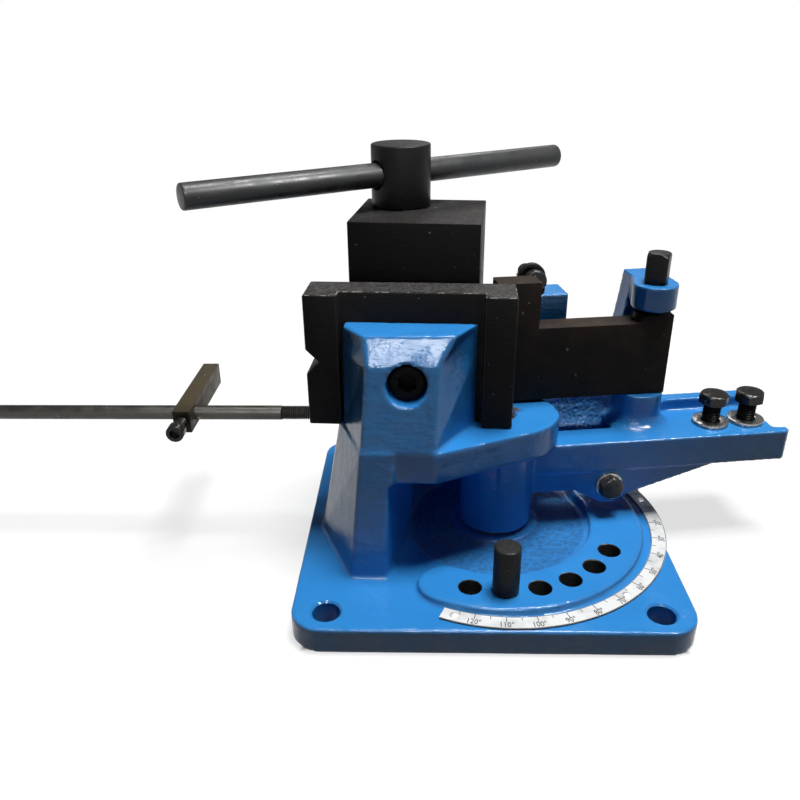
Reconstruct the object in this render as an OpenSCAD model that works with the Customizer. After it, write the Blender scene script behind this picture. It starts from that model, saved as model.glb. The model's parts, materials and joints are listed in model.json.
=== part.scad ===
// Bench bar bender: a cast base with a column and a shelf, a fixed U-shaped jaw,
// an eccentric clamp block, and an arm that swings a hinged bending jaw round the pivot.
// The origin is the middle of the base's bolt pattern, on the underside; +X is to the
// operator's right, +Y to the back and +Z up.  Millimetres and degrees.

/* [Base] */
// Width of the base plate
base_w = 243; // [230:1:300]
// Depth of the base plate
base_d = 234; // [226:1:280]
// Thickness of the base plate
base_t = 17.5; // [12:0.5:24]
// Corner radius of the base plate
base_corner = 20; // [8:1:26]
// Distance between the bolt holes across the base
bolt_pitch_x = 200; // [180:1:206]
// Distance between the bolt holes along the base
bolt_pitch_y = 200; // [180:1:204]
// Diameter of the bolt holes
bolt_hole_d = 17; // [11:0.5:19]
// Depth of the softened rim round each bolt hole
bolt_rim = 1.5; // [0.5:0.25:3]

/* [Swing pivot] */
// Distance of the pivot to the right of the middle
pivot_x = 8.5; // [4:0.5:14]
// Distance of the pivot behind the middle
pivot_y = -2.8; // [-6:0.2:2]
// Diameter of the pivot pin
pivot_pin_d = 22; // [16:0.5:24]
// Wall of the bronze bushes on the pivot pin
bush_wall = 3; // [2:0.25:4]
// Length of each pivot bush
bush_len = 24; // [14:1:26]
// Radius of the arm's pivot boss
boss_r = 25; // [22:0.5:28]
// Radius of the machined pad under the boss
pad_r = 30; // [28:0.5:34]
// Height of the machined pad
pad_h = 3; // [1.5:0.25:4]
// Thickness of the thrust washer under the boss
thrust_t = 2; // [1:0.25:3]

/* [Stop band and scale] */
// Inner radius of the raised stop band
band_r_in = 66; // [60:1:70]
// Outer radius of the raised stop band
band_r_out = 101; // [96:0.5:102]
// Height of the stop band above the base
band_h = 5; // [3:0.5:7]
// Start of the stop band's middle line, by angle
band_from = -116; // [-122:1:-112]
// End of the stop band's middle line, by angle
band_to = 24; // [10:1:40]
// Radius of the circle of stop holes
stop_r = 83; // [78:0.5:88]
// Diameter of the stop holes
stop_hole_d = 14; // [10:0.5:16]
// Number of stop holes
stop_count = 6; // [3:1:6]
// Angle of the first stop hole
stop_from = -105; // [-108:1:-100]
// Angle between stop holes
stop_step = 15; // [12:1:18]
// Stop hole that holds the pin, counted from 0
stop_used = 1; // [0:1:2]
// Diameter of the stop pin's head
stop_head_d = 16.5; // [16:0.5:20]
// Height of the stop pin's head
stop_head_h = 32.5; // [20:0.5:36]
// Shift of the scale's centre to the right of the pivot
scale_shift_x = 3.5; // [0:0.5:3.5]
// Shift of the scale's centre behind the pivot
scale_shift_y = 1.5; // [0:0.5:1.5]
// Inner radius of the angle scale
scale_r_in = 104; // [104:0.5:106]
// Outer radius of the angle scale
scale_r_out = 114; // [110:0.5:115]
// Start of the angle scale
scale_from = -113; // [-118:1:-110]
// End of the angle scale
scale_to = 21; // [5:1:25]
// Thickness of the angle scale
scale_t = 1; // [0.6:0.1:2]
// Diameter of the scale rivets' heads
rivet_d = 6; // [4:0.5:7]

/* [Column and shelf] */
// Height of the shelf's top face
shelf_z = 102; // [98:0.5:110]
// Thickness of the shelf and its nose
shelf_t = 21.5; // [16:0.5:24]
// Radius of the nose round the pivot
nose_r = 40; // [37:0.5:40.5]
// Radius of the nose's front edge
nose_front_r = 37.5; // [35:0.5:40]
// Shift of the front edge's centre to the right of the pivot
nose_shift_x = 3.5; // [0:0.5:5]
// Shift of the front edge's centre behind the pivot
nose_shift_y = 6.5; // [0:0.5:8]
// Left edge of the shelf
shelf_left = -100; // [-106:1:-99]
// Right edge of the shelf behind the nose
shelf_right = 6; // [2:1:12]
// Back edge of the shelf and the pedestal
shelf_back = 97; // [94:1:104]
// Front of the column's foot
foot_front = -70; // [-76:1:-66]
// Left end of the foot's front face
foot_left = -88; // [-94:1:-84]
// Right end of the foot's front face
foot_right = -65; // [-70:1:-60]
// Spread of the pedestal past the shelf's left edge, at the base
foot_spread = 12; // [4:1:16]
// Radius of the hollow round the arm's boss
hollow_r = 58; // [50:1:64]
// Height of the column's top
column_top = 170; // [160:1:178]
// Height of the bevel on the column's top front edge
column_bevel = 17; // [8:1:24]

/* [Fixed jaw] */
// Width of the fixed jaw
jaw_w = 130; // [124:1:134]
// Height of the fixed jaw
jaw_h = 86.5; // [76:0.5:92]
// Right side of the fixed jaw, past the pivot
jaw_past_pivot = 6.5; // [4:0.25:7]
// Back face of the fixed jaw, behind the pivot
jaw_back = 11; // [9:0.2:11]
// Thickness of the fixed jaw's web
web_t = 22; // [16:0.5:24]
// Reach of the fixed jaw's legs in front of the web
leg_reach = 8.5; // [6:0.5:12]
// Width of the left leg
left_leg_w = 21; // [16:0.5:24]
// Width of the right leg
right_leg_w = 19.5; // [16:0.5:20]
// Turn of the fixed jaw on its bolt
jaw_turn = -3; // [-4:0.5:0]
// Width of the notch for round bar
notch_w = 16; // [8:0.5:20]
// Thread diameter of the jaw bolt
jaw_bolt_d = 14; // [10:1:16]
// Distance of the jaw bolt from the middle
jaw_bolt_x = -50; // [-54:0.5:-46]
// Height of the jaw bolt above the shelf
jaw_bolt_up = 40; // [36:0.5:46]

/* [Clamp] */
// Width of the clamp block
block_w = 84; // [76:1:88]
// Depth of the clamp block
block_d = 77; // [70:1:82]
// Height of the clamp block
block_h = 122; // [100:1:130]
// Turn of the clamp block on its spindle
block_turn = -6.5; // [-9:0.5:-4]
// Gap between the clamp block's near corner and the fixed jaw
block_gap = 3.8; // [1.6:0.1:5]
// Distance from the block's right side to the spindle lobe
lobe_in = 54; // [48:0.5:60]
// Distance from the block's front to the spindle lobe
lobe_back = 51.5; // [46:0.5:54]
// Diameter of the spindle's eccentric lobe
lobe_d = 32; // [30:0.5:38]
// Throw of the eccentric
throw = 4; // [2:0.25:4.5]
// Direction of the eccentric at rest
throw_angle = -50; // [-60:1:-45]
// Diameter of the spindle's journal
journal_d = 24; // [18:0.5:25]
// Depth of the journal below the shelf's top
journal_len = 60; // [45:1:75]
// Length of the spindle's bush
spindle_bush_len = 30; // [20:1:36]
// Diameter of the spindle's hub
hub_d = 40; // [34:1:44]
// Height of the spindle's hub
hub_h = 40.5; // [30:0.5:44]
// Diameter of the T-bar
bar_d = 16; // [12:0.5:18]
// Length of the T-bar
bar_len = 288; // [240:2:340]
// Direction of the T-bar at rest
bar_turn = 33.5; // [20:0.5:50]
// Shift of the T-bar through the hub at rest
bar_shift = -7; // [-40:1:40]
// Height of the T-bar above the hub's foot
bar_up = 21.5; // [14:0.5:24]

/* [Swing arm] */
// Angle of the arm at rest, behind the operator's right
arm_turn = 8; // [6:0.5:9]
// Reach of the arm's front flange from the pivot
arm_len = 205; // [196:1:230]
// Reach of the flange past the top plate
arm_tip = 9; // [4:0.5:16]
// Top of the arm
arm_top = 80; // [78:0.5:80]
// Depth of the arm's flanges
flange_h = 22.5; // [18:0.5:24]
// Thickness of the arm's top plate
plate_t = 12; // [8:0.5:16]
// Front face of the arm, in front of the pivot
arm_front = -10; // [-13:0.5:-9]
// Back face of the arm, behind the pivot
arm_back = 42; // [38:0.5:46]
// Thickness of the arm's flanges and webs
flange_t = 8; // [6:0.5:9]
// Step from the front flange back to the deep web
web_step = 2.5; // [1:0.25:4]
// Height of the deep web's lower edge near the boss
web_low = 42; // [38:0.5:46]
// Height of the deep web's lower edge under the stop bolt
web_dip = 30; // [28:0.5:34]
// Reach of the deep web's level edge
web_level = 54; // [48:1:58]
// Reach of the deep web's slanted edge
web_end = 161; // [140:1:165]
// Height of the back rail above the plate
rail_h = 9; // [4:0.5:12]
// Thread diameter of the lever bolts
lever_bolt_d = 12; // [8:1:14]
// Distance of the last lever bolt from the arm's end
lever_bolt_end = 24; // [22:1:30]
// Distance between the lever bolts
lever_bolt_pitch = 26; // [25:1:28]
// Distance of the lever bolts behind the pivot
lever_bolt_v = 9.5; // [6:0.5:14]
// Height of the lever bolts' heads above their washers
lever_bolt_up = 13; // [10:0.5:16]
// Thread diameter of the stop bolt
stop_bolt_d = 10; // [8:1:12]
// Distance of the stop bolt from the pivot
stop_bolt_u = 78.5; // [76:0.5:86]
// Height of the stop bolt
stop_bolt_z = 45.5; // [42:0.5:46]

/* [Bending jaw] */
// Front face of the bending jaw, behind the pivot
leaf_front = 13.4; // [13.2:0.1:16]
// Thickness of the bending jaw
leaf_t = 17.5; // [14:0.5:19]
// Left end of the bending jaw, from the pivot
leaf_left = -0.5; // [-2:0.25:4]
// Length of the bending jaw past its hinge
leaf_past = 11; // [9:0.5:13]
// Height of the bending jaw's low part
leaf_low_h = 51; // [44:0.5:60]
// Height of the bending jaw's hinge end
leaf_end_h = 56; // [50:0.5:58]
// Height of the post at the bending jaw's left end
leaf_post_h = 82; // [70:0.5:84]
// Width of the post at the bending jaw's left end
leaf_post_w = 28; // [18:0.5:32]
// Distance of the hinge pin from the pivot, along the arm
hinge_u = 108; // [104:0.5:112]
// Distance of the hinge pin behind the leaf's front
hinge_in = 10; // [9.5:0.25:12]
// Diameter of the hinge pin
hinge_d = 14; // [10:0.5:14]
// Width of the hinge pin's square head
hinge_head = 14; // [12:0.5:16]
// Turn of the hinge pin's square head on the arm
hinge_head_turn = -33; // [-45:1:45]
// Height of the hinge pin's top
hinge_top = 200; // [190:1:210]
// Thickness of the hinge ear
ear_t = 17; // [12:0.5:20]
// Radius of the hinge ear
ear_r = 15; // [13:0.5:16]
// Distance of the adjusting bolt from the pivot, along the arm
adjust_u = 29; // [27:0.5:34]
// Height of the adjusting bolt
adjust_z = 181; // [179:0.5:183]
// Thread diameter of the adjusting bolt
adjust_d = 10; // [8:1:12]
// Gap between the adjusting bolt's head and the bending jaw
adjust_gap = 0.7; // [0.6:0.1:1]
// Travel left behind the adjusting bolt's head
adjust_travel = 4.2; // [4:0.1:6]

/* [Length stop] */
// Diameter of the length stop's rod
rod_d = 10; // [8:0.5:12]
// Reach of the rod from the shelf's left edge
rod_reach = 250; // [200:5:300]
// Height of the rod
rod_z = 91; // [88:0.5:94]
// Distance of the rod behind the middle
rod_y = 20; // [14:0.5:26]
// Distance of the stop finger from the shelf's left edge
finger_out = 107; // [60:1:160]
// Width of the stop finger
finger_w = 12; // [8:0.5:16]
// Height of the stop finger
finger_h = 16; // [14:0.5:20]
// Length of the stop finger
finger_len = 86; // [60:1:100]
// Distance of the rod from the finger's front end
finger_front = 15.5; // [8:0.5:16]
// Thread diameter of the finger's lock screw
lock_d = 8; // [5:0.5:8]
// Bare length of the lock screw in front of the finger
lock_bare = 10; // [6:0.5:16]

/* [Hidden] */
$fn = 64;

// Fits: running fit on a radius, a fastener in its hole on a radius, and faces that pass each other
run_gap = 0.05;
bolt_gap = 0.05;
face_gap = 0.3;
washer_gap = 0.5;
// Overshoot of a cut past the face that it opens
cut = 1;
// Chamfer on the ends of pins and bars
end_chamfer = 1;

// Colours as they are on the object
blue = [0.10, 0.42, 0.80];
black = [0.10, 0.10, 0.10];
steel = [0.72, 0.72, 0.70];
bronze = [0.72, 0.55, 0.30];
white = [0.92, 0.92, 0.90];

// Standard proportions of the fasteners, per millimetre of thread diameter
hex_ratio = 1.73;
head_ratio = 0.62;
nut_ratio = 0.8;
thin_nut_ratio = 0.5;
washer_ratio = 2.04;
cap_ratio = 1.5;
key_ratio = 0.8;

// Heights
pad_top = base_t + pad_h;
band_top = base_t + band_h;
nose_under = shelf_z - shelf_t;
boss_low = pad_top + thrust_t + face_gap;
boss_top = nose_under - face_gap;
web_under = arm_top - flange_h;
block_low = shelf_z + face_gap;
block_top = block_low + block_h;
hub_low = block_top + face_gap;
lobe_low = block_low - 0.1;
bar_z = hub_low + bar_up;
leaf_low = shelf_z + 2;
leaf_end_top = leaf_low + leaf_end_h;
ear_low = leaf_end_top + 3;
ear_top = ear_low + ear_t;
jaw_bolt_z = shelf_z + jaw_bolt_up;
notch_z = shelf_z + jaw_h / 2;

// The fixed jaw's place
jaw_right = pivot_x + jaw_past_pivot;
jaw_left = jaw_right - jaw_w;
jaw_rear = pivot_y + jaw_back;
jaw_seat = jaw_rear - web_t;

// The jaw bolt's seat in the column, the room round its head and the skin left at the jaw's back
jaw_bolt_seat = jaw_seat - jaw_bolt_d - 3;
cap_room = 3;
jaw_bolt_skin = 3;
// Room between the column and the fixed jaw
jaw_room = 0.1;

// The pedestal's front right corner, its right side and that side's depth, and the ledge above
foot_corner = foot_right + 4;
pedestal_right = shelf_right - 1.5;
wing_d = 27;
ledge_left = foot_left + 8;
ledge_x = foot_right + 30;
ledge_y = foot_front + 10;
shelf_lean = 3.3;
shelf_inset = 2;
flush_gap = 0.4;
nose_blend = 0.3;
nose_front_at = [pivot_x + nose_shift_x, pivot_y + nose_shift_y];

// The column's section at its foot, at the shelf, under its bevel and at its top, as height, left and
// right end of the front edge, place of that edge, and left end of the jaw's seat beside the jaw's leg.
// At the shelf it is almost flush with the pedestal, whose top leans in beside the leg
column_seat_left = jaw_left + left_leg_w;
column_seat_right = jaw_right - right_leg_w - 3;
column_sections = [
    [shelf_z - 8, ledge_left + 1, ledge_x - 1, ledge_y + 1, column_seat_left + 2.5],
    [shelf_z - flush_gap, ledge_left + flush_gap, ledge_x - flush_gap, ledge_y + flush_gap,
        column_seat_left + 0.8],
    [column_top - column_bevel, foot_left + 12, ledge_x + 2.5, foot_front + 22.5, column_seat_left + 2],
    [column_top, foot_left + 10, ledge_x + 13, foot_front + 32, column_seat_left + 3]
];

// The hollow's left side: its ends at the front and beside the boss
hollow_front = [foot_right - 6, foot_front - 20];
hollow_rear = [pivot_x - hollow_r + 4, pivot_y];

// The stop band's rounded ends are a little narrower than the band
band_end = 0.6;
// The scale's rivets: their places along the strip, length, head and its taper
rivet_angles = [scale_from + 4, (scale_from + scale_to) / 2 - 3.5, scale_to - 8];
rivet_len = 5;
rivet_head_h = 1.3;
rivet_taper = 1.5;

// The clamp block: its near right corner sets its place, and the lobe and the spindle follow
block_x = jaw_right - right_leg_w - 2;
block_corner = jaw_line(block_x, web_t) + [0, block_gap];
function turned(p, a) = [p.x * cos(a) - p.y * sin(a), p.x * sin(a) + p.y * cos(a)];
lobe_at = block_corner + turned([-lobe_in, lobe_back], block_turn);
spindle_at = lobe_at - throw * [cos(throw_angle), sin(throw_angle)];
// The journal's groove and the grub screw that runs in it
groove_h = 8.6;
groove_z = shelf_z - journal_len + 22;
groove_in = 3;
retainer_d = groove_h - 2 * face_gap;
retainer_sunk = 2;
retainer_key = 4;

// The pivot pin's foot and its depth below the nose, and the bushes and the washer on it
pin_low = 3;
pin_sunk = 0.5;
bush_r = pivot_pin_d / 2 + run_gap + bush_wall;
thrust_r = boss_r - 4;

// Washers under the lever bolts and the stop bolt, and the bolts' lengths
lever_bolt_u = arm_len - lever_bolt_end - lever_bolt_pitch;
lever_head_turns = [20, 30];
lever_washer_t = 2.5;
lever_bolt_len = lever_bolt_up + lever_washer_t + plate_t + 5;
stop_washer_t = 1.5;
stop_washer_r = 0.93 * stop_bolt_d;
stop_bolt_len = flange_t + 22;

// The deep web's dip under the stop bolt: half its level length, and where the slanted edge starts
dip_half = 4;
dip_end = [15, 6.5];

// The bending jaw and what carries it, along (u) and across (v) the arm
hinge_v = leaf_front + hinge_in;
leaf_right = hinge_u + leaf_past;
leaf_back = leaf_front + leaf_t;
back_wall_v = leaf_back + 7;
back_wall_t = 9;
back_wall_top = shelf_z + 14;
lug_u = [adjust_u - 11, adjust_u + 26];
lug_v = leaf_back + 9;
lug_t = 25;
lug_top = adjust_z - 11.5;
eye_r = adjust_d / 2 + 4.5;
adjust_head_h = head_ratio * adjust_d;
adjust_head_v = leaf_back + adjust_gap;
eye_v = adjust_head_v + adjust_head_h + adjust_travel;
eye_t = 5;
adjust_len = adjust_travel + eye_t + 16;
ear_post_v = leaf_back + 11;
ear_post_t = 17;
ear_post_foot = hinge_u - 24;
ear_post_head = hinge_u - 9;
hinge_low = web_under + 4;
hinge_corners = 1.3;
seat_u = hinge_u - 2.5;
seat_v = hinge_v - 0.4;
seat_r = 16;
seat_web_t = 19;
leaf_ramp = [hinge_u - 12, hinge_u - 8];
leaf_eye_d = hinge_d + 10;
pocket_u = [nose_r + 6, hinge_u - ear_r - 4];
pocket_v = leaf_front - 1;
rail_u = hinge_u + 4;
rail_t = 10;
rail_corner = 9;
tip_chamfer = 3;

// The stop pin's hole and the length stop's finger
stop_pin_angle = stop_from + stop_used * stop_step;
finger_x = shelf_left - finger_out;
finger_y = rod_y - finger_front;
rod_in = 22;
stop_pin_shank = band_top - 2;

// Helpers

// Plate with round corners, standing on the XY plane
module round_plate(w, d, r, t) {
    linear_extrude(t) {
        square([w - 2 * r, d], center = true);
        square([w, d - 2 * r], center = true);
        for (x = [-1, 1], y = [-1, 1])
            translate([x * (w / 2 - r), y * (d / 2 - r)]) circle(r);
    }
}

// Moves its children to the pivot
module at_pivot(z = 0) {
    translate([pivot_x, pivot_y, z]) children();
}

// Moves its children into the arm's own axes: u along the arm, v across it
module on_arm() {
    at_pivot() rotate(arm_turn) children();
}

// Turns its children with the fixed jaw, round its bolt's place on the seat
module on_jaw() {
    translate([jaw_bolt_x, jaw_seat, 0]) rotate(jaw_turn) translate([-jaw_bolt_x, -jaw_seat, 0]) children();
}

// Flat ring segment round the Z axis, from one angle to another
module ring_segment(r_in, r_out, from, to, t) {
    rotate(from) rotate_extrude(angle = to - from, $fn = 128)
        translate([r_in, 0]) square([r_out - r_in, t]);
}

// Places its children at a radius and an angle round the pivot
module round_pivot(r, angle, z = 0) {
    at_pivot(z) rotate(angle) translate([r, 0, 0]) children();
}

// Ring with a bore, standing on the XY plane
module ring(r_out, r_in, h) {
    difference() {
        cylinder(r = r_out, h = h);
        translate([0, 0, -cut]) cylinder(r = r_in, h = h + 2 * cut);
    }
}

// Hexagon of a width across its flats
module hexagon(flats, h) {
    cylinder(d = flats / cos(30), h = h, $fn = 6);
}

// Hex bolt: the head stands up from the XY plane and the shank hangs below it
module hex_bolt(d, len) {
    hexagon(hex_ratio * d * cos(30), head_ratio * d);
    translate([0, 0, -len]) cylinder(d = d, h = len + cut);
}

// Hex nut on the XY plane, for a thread diameter and a height
module hex_nut(d, h) {
    difference() {
        hexagon(hex_ratio * d * cos(30), h);
        translate([0, 0, -cut]) cylinder(d = d + 2 * bolt_gap, h = h + 2 * cut);
    }
}

// Socket cap screw: the head stands up from the XY plane and the shank hangs below it
module cap_screw(d, len, head_h) {
    difference() {
        union() {
            cylinder(d = cap_ratio * d, h = head_h);
            translate([0, 0, -len]) cylinder(d = d, h = len + cut);
        }
        translate([0, 0, head_h / 2]) hexagon(key_ratio * d, head_h);
    }
}

// Bar with a small chamfer at both ends, along Z
module chamfered_bar(d, len, chamfer) {
    cylinder(d1 = d - 2 * chamfer, d2 = d, h = chamfer);
    translate([0, 0, chamfer]) cylinder(d = d, h = len - 2 * chamfer);
    translate([0, 0, len - chamfer]) cylinder(d1 = d, d2 = d - 2 * chamfer, h = chamfer);
}

// Solid between outlines with the same number of points at rising heights: each level is [z, points]
module stack(levels) {
    n = len(levels[0][1]);
    top = (len(levels) - 1) * n;
    points = [for (level = levels, p = level[1]) [p.x, p.y, level[0]]];
    sides = [
        for (low = [0:n:top - n], i = [0:n - 1])
            let (j = (i + 1) % n)
            each [[low + i, low + n + i, low + n + j], [low + i, low + n + j, low + j]]
    ];
    polyhedron(
        points,
        concat([[for (i = [0:n - 1]) i]], sides, [[for (i = [n - 1:-1:0]) top + i]]));
}

// Where a line along the turned jaw lies: at a distance from the middle, and this far behind its seat
function jaw_line(x, back) = [x, jaw_seat + back / cos(jaw_turn) + (x - jaw_bolt_x) * tan(jaw_turn)];

// Where a line from a point runs onto the nose, on the operator's side
function nose_tangent(p) =
    let (to = nose_front_at - p, away = norm(to), r = nose_front_r - nose_blend,
         run = sqrt(away * away - r * r),
         turn = atan2(to.y, to.x) - asin(r / away))
    p + run * [cos(turn), sin(turn)];

// The frame: casting, scale, fixed jaw and what is bolted into them

module pedestal() {
    stack([
        [base_t - cut, [
            [foot_left, foot_front], [foot_corner, foot_front],
            [pedestal_right, shelf_back - wing_d], [pedestal_right, shelf_back],
            [shelf_left - foot_spread, shelf_back], [shelf_left - foot_spread, jaw_seat]]],
        [shelf_z, [
            [ledge_left, ledge_y], [foot_corner + cut, ledge_y],
            [pedestal_right, shelf_back - wing_d], [pedestal_right, shelf_back],
            [shelf_left, shelf_back], [shelf_left + shelf_lean, jaw_seat]]]
    ]);
}

module shelf() {
    start = [ledge_x, ledge_y];
    translate([0, 0, nose_under]) linear_extrude(shelf_t) {
        polygon([
            [ledge_left + shelf_inset, ledge_y + shelf_inset], start, nose_tangent(start),
            [pivot_x, pivot_y], [shelf_right, pivot_y + nose_r - shelf_inset],
            [shelf_right, shelf_back - shelf_inset],
            [shelf_left + shelf_inset, shelf_back - shelf_inset],
            [shelf_left + shelf_lean + shelf_inset, jaw_seat]]);
        intersection() {
            translate([pivot_x, pivot_y]) circle(nose_r, $fn = 128);
            translate(nose_front_at) circle(nose_front_r, $fn = 128);
        }
    }
}

module column() {
    stack([
        for (c = column_sections)
            [c[0], [
                [c[1], c[3]], [c[2], c[3]], jaw_line(column_seat_right, -jaw_room),
                jaw_line(c[4], -jaw_room), jaw_line(c[4], -leg_reach - jaw_room)]]
    ]);
}

// The hollow in which the arm's boss turns, open to the operator
module boss_hollow() {
    translate([0, 0, base_t]) linear_extrude(nose_under - base_t) {
        translate([pivot_x, pivot_y]) circle(hollow_r, $fn = 128);
        polygon([hollow_front, [pivot_x, hollow_front.y], [pivot_x, pivot_y], hollow_rear]);
    }
}

module stop_band() {
    width = band_r_out - band_r_in;
    middle = (band_r_in + band_r_out) / 2;
    at_pivot(base_t) ring_segment(band_r_in, band_r_out, band_from, band_to, band_h);
    for (angle = [band_from, band_to])
        round_pivot(middle, angle, base_t) cylinder(d = width - band_end, h = band_h);
}

module bolt_holes() {
    for (x = [-1, 1], y = [-1, 1])
        translate([x * bolt_pitch_x / 2, y * bolt_pitch_y / 2, 0]) {
            translate([0, 0, -cut]) cylinder(d = bolt_hole_d, h = base_t + 2 * cut);
            translate([0, 0, base_t - bolt_rim])
                cylinder(d1 = bolt_hole_d, d2 = bolt_hole_d + 4 * bolt_rim, h = 2 * bolt_rim);
        }
}

// Bores for the jaw bolt: a deep counterbore in the column's front and a hole to the jaw's seat
module jaw_bolt_bore() {
    on_jaw() translate([jaw_bolt_x, jaw_bolt_seat, jaw_bolt_z]) rotate([90, 0, 0])
        cylinder(d = cap_ratio * jaw_bolt_d + cap_room, h = jaw_bolt_seat - foot_front);
    on_jaw() translate([jaw_bolt_x, jaw_seat + cut, jaw_bolt_z]) rotate([90, 0, 0])
        cylinder(d = jaw_bolt_d + 2 * bolt_gap, h = jaw_seat - jaw_bolt_seat + 2 * cut);
}

module spindle_bores() {
    translate([spindle_at.x, spindle_at.y, shelf_z - journal_len])
        cylinder(d = journal_d + 2 * run_gap, h = journal_len + cut);
    translate([spindle_at.x, spindle_at.y, shelf_z - spindle_bush_len])
        cylinder(r = journal_d / 2 + run_gap + bush_wall + bolt_gap, h = spindle_bush_len + cut);
    translate([spindle_at.x, spindle_at.y, groove_z]) rotate([-90, 0, 0])
        cylinder(d = retainer_d + 2 * bolt_gap, h = shelf_back - spindle_at.y + cut);
}

// Moves its children to the scale's centre, on the base
module at_scale() {
    translate([pivot_x + scale_shift_x, pivot_y + scale_shift_y, base_t]) children();
}

module scale_rivet_places() {
    middle = (scale_r_in + scale_r_out) / 2;
    at_scale()
        for (angle = rivet_angles)
            rotate(angle) translate([middle, 0, 0]) children();
}

module main_casting() {
    color(blue) difference() {
        union() {
            round_plate(base_w, base_d, base_corner, base_t);
            difference() {
                union() {
                    pedestal();
                    column();
                }
                boss_hollow();
            }
            shelf();
            stop_band();
            at_pivot(base_t) cylinder(r = pad_r, h = pad_h);
        }
        at_pivot(pin_low) cylinder(d = pivot_pin_d + 2 * bolt_gap, h = shelf_z - pin_low + cut);
        for (k = [0:stop_count - 1])
            round_pivot(stop_r, stop_from + k * stop_step, -cut)
                cylinder(d = stop_hole_d, h = band_top + 2 * cut);
        bolt_holes();
        jaw_bolt_bore();
        spindle_bores();
        translate([shelf_left - foot_spread, rod_y, rod_z]) rotate([0, 90, 0])
            cylinder(d = rod_d + 2 * run_gap, h = foot_spread + rod_in);
        scale_rivet_places()
            translate([0, 0, -rivet_len - cut])
                cylinder(d = rivet_d / 2 + 2 * bolt_gap, h = rivet_len + 2 * cut);
    }
}

module angle_scale() {
    color(white) difference() {
        at_scale() ring_segment(scale_r_in, scale_r_out, scale_from, scale_to, scale_t);
        scale_rivet_places()
            translate([0, 0, -cut]) cylinder(d = rivet_d / 2 + 2 * bolt_gap, h = scale_t + 2 * cut);
    }
}

module scale_rivets() {
    color(steel) scale_rivet_places() {
        translate([0, 0, -rivet_len]) cylinder(d = rivet_d / 2, h = rivet_len + scale_t + rivet_head_h / 2);
        translate([0, 0, scale_t]) cylinder(d1 = rivet_d, d2 = rivet_d - rivet_taper, h = rivet_head_h);
    }
}

module fixed_jaw() {
    notch = notch_w / 2;
    color(black) on_jaw() difference() {
        translate([jaw_left, 0, shelf_z]) linear_extrude(jaw_h) {
            translate([0, jaw_seat]) square([jaw_w, web_t]);
            translate([0, jaw_seat - leg_reach]) square([left_leg_w, leg_reach + cut]);
            translate([jaw_w - right_leg_w, jaw_seat - leg_reach]) square([right_leg_w, leg_reach + cut]);
        }
        translate([jaw_left, jaw_rear + cut, notch_z]) rotate([90, 0, 0])
            linear_extrude(web_t + leg_reach + 2 * cut)
                polygon([[-cut, -notch - cut], [notch, 0], [-cut, notch + cut]]);
        translate([jaw_bolt_x, jaw_seat - cut, jaw_bolt_z]) rotate([-90, 0, 0])
            cylinder(d = jaw_bolt_d + 2 * bolt_gap, h = web_t - jaw_bolt_skin + cut);
    }
}

module jaw_bolt() {
    len = jaw_rear - jaw_bolt_skin - cut - jaw_bolt_seat;
    color(black) on_jaw() translate([jaw_bolt_x, jaw_bolt_seat, jaw_bolt_z]) rotate([90, 0, 0])
        cap_screw(jaw_bolt_d, len, jaw_bolt_d);
}

module pivot_pin() {
    color(steel) at_pivot(pin_low) chamfered_bar(pivot_pin_d, shelf_z - pin_sunk - pin_low, end_chamfer);
}

module thrust_washer() {
    color(bronze) at_pivot(pad_top) ring(thrust_r, pivot_pin_d / 2 + run_gap, thrust_t);
}

module spindle_bush() {
    color(bronze) translate([spindle_at.x, spindle_at.y, shelf_z - spindle_bush_len])
        ring(journal_d / 2 + run_gap + bush_wall, journal_d / 2 + run_gap, spindle_bush_len);
}

// Grub screw whose point runs in the journal's groove and keeps the spindle from lifting
module spindle_screw() {
    point = journal_d / 2 - groove_in + face_gap;
    len = shelf_back - spindle_at.y - point - retainer_sunk;
    color(black) translate([spindle_at.x, spindle_at.y + point, groove_z]) rotate([-90, 0, 0])
        difference() {
            cylinder(d = retainer_d, h = len);
            translate([0, 0, len - retainer_key]) hexagon(retainer_d / 2, retainer_key + cut);
        }
}

// The swing arm and what rides on it

// Beam: top plate between a front and a back flange, with an open pocket behind the front strip
module arm_beam() {
    difference() {
        translate([0, arm_front, arm_top - plate_t])
            cube([arm_len - arm_tip, arm_back - arm_front, plate_t]);
        translate([pocket_u[0], pocket_v, arm_top - plate_t - cut])
            cube([pocket_u[1] - pocket_u[0], back_wall_v - pocket_v, plate_t + 2 * cut]);
    }
    translate([0, arm_front, web_under]) linear_extrude(flange_h)
        polygon([
            [0, 0], [arm_len - tip_chamfer, 0], [arm_len, tip_chamfer], [arm_len, flange_t], [0, flange_t]]);
    translate([0, arm_back - flange_t, web_under]) cube([arm_len - arm_tip, flange_t, flange_h]);
    arm_rail();
}

// Back rail of the lever's seat, with a round corner where it meets the hinge's boss
module arm_rail() {
    inner = arm_back - rail_t;
    translate([rail_u, inner, arm_top - cut]) cube([arm_len - arm_tip - rail_u, rail_t, rail_h + cut]);
    difference() {
        translate([rail_u, inner - rail_corner, arm_top - cut])
            cube([hinge_u + ear_r + rail_corner - rail_u, rail_corner + cut, rail_h + cut]);
        translate([hinge_u + ear_r + rail_corner + cut, inner - rail_corner - cut, arm_top])
            cylinder(r = rail_corner + cut / 2, h = rail_h + cut);
    }
}

// Deep web under the front flange: level near the boss, deeper round the stop bolt, then slanted up
module arm_web() {
    translate([0, arm_front + web_step + flange_t, 0]) rotate([90, 0, 0])
        linear_extrude(flange_t)
            polygon([
                [0, web_low], [web_level, web_low], [stop_bolt_u - dip_half, web_dip],
                [stop_bolt_u + dip_half, web_dip], [stop_bolt_u + dip_end.x, web_dip + dip_end.y],
                [web_end, web_under + cut], [0, web_under + cut]]);
}

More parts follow.
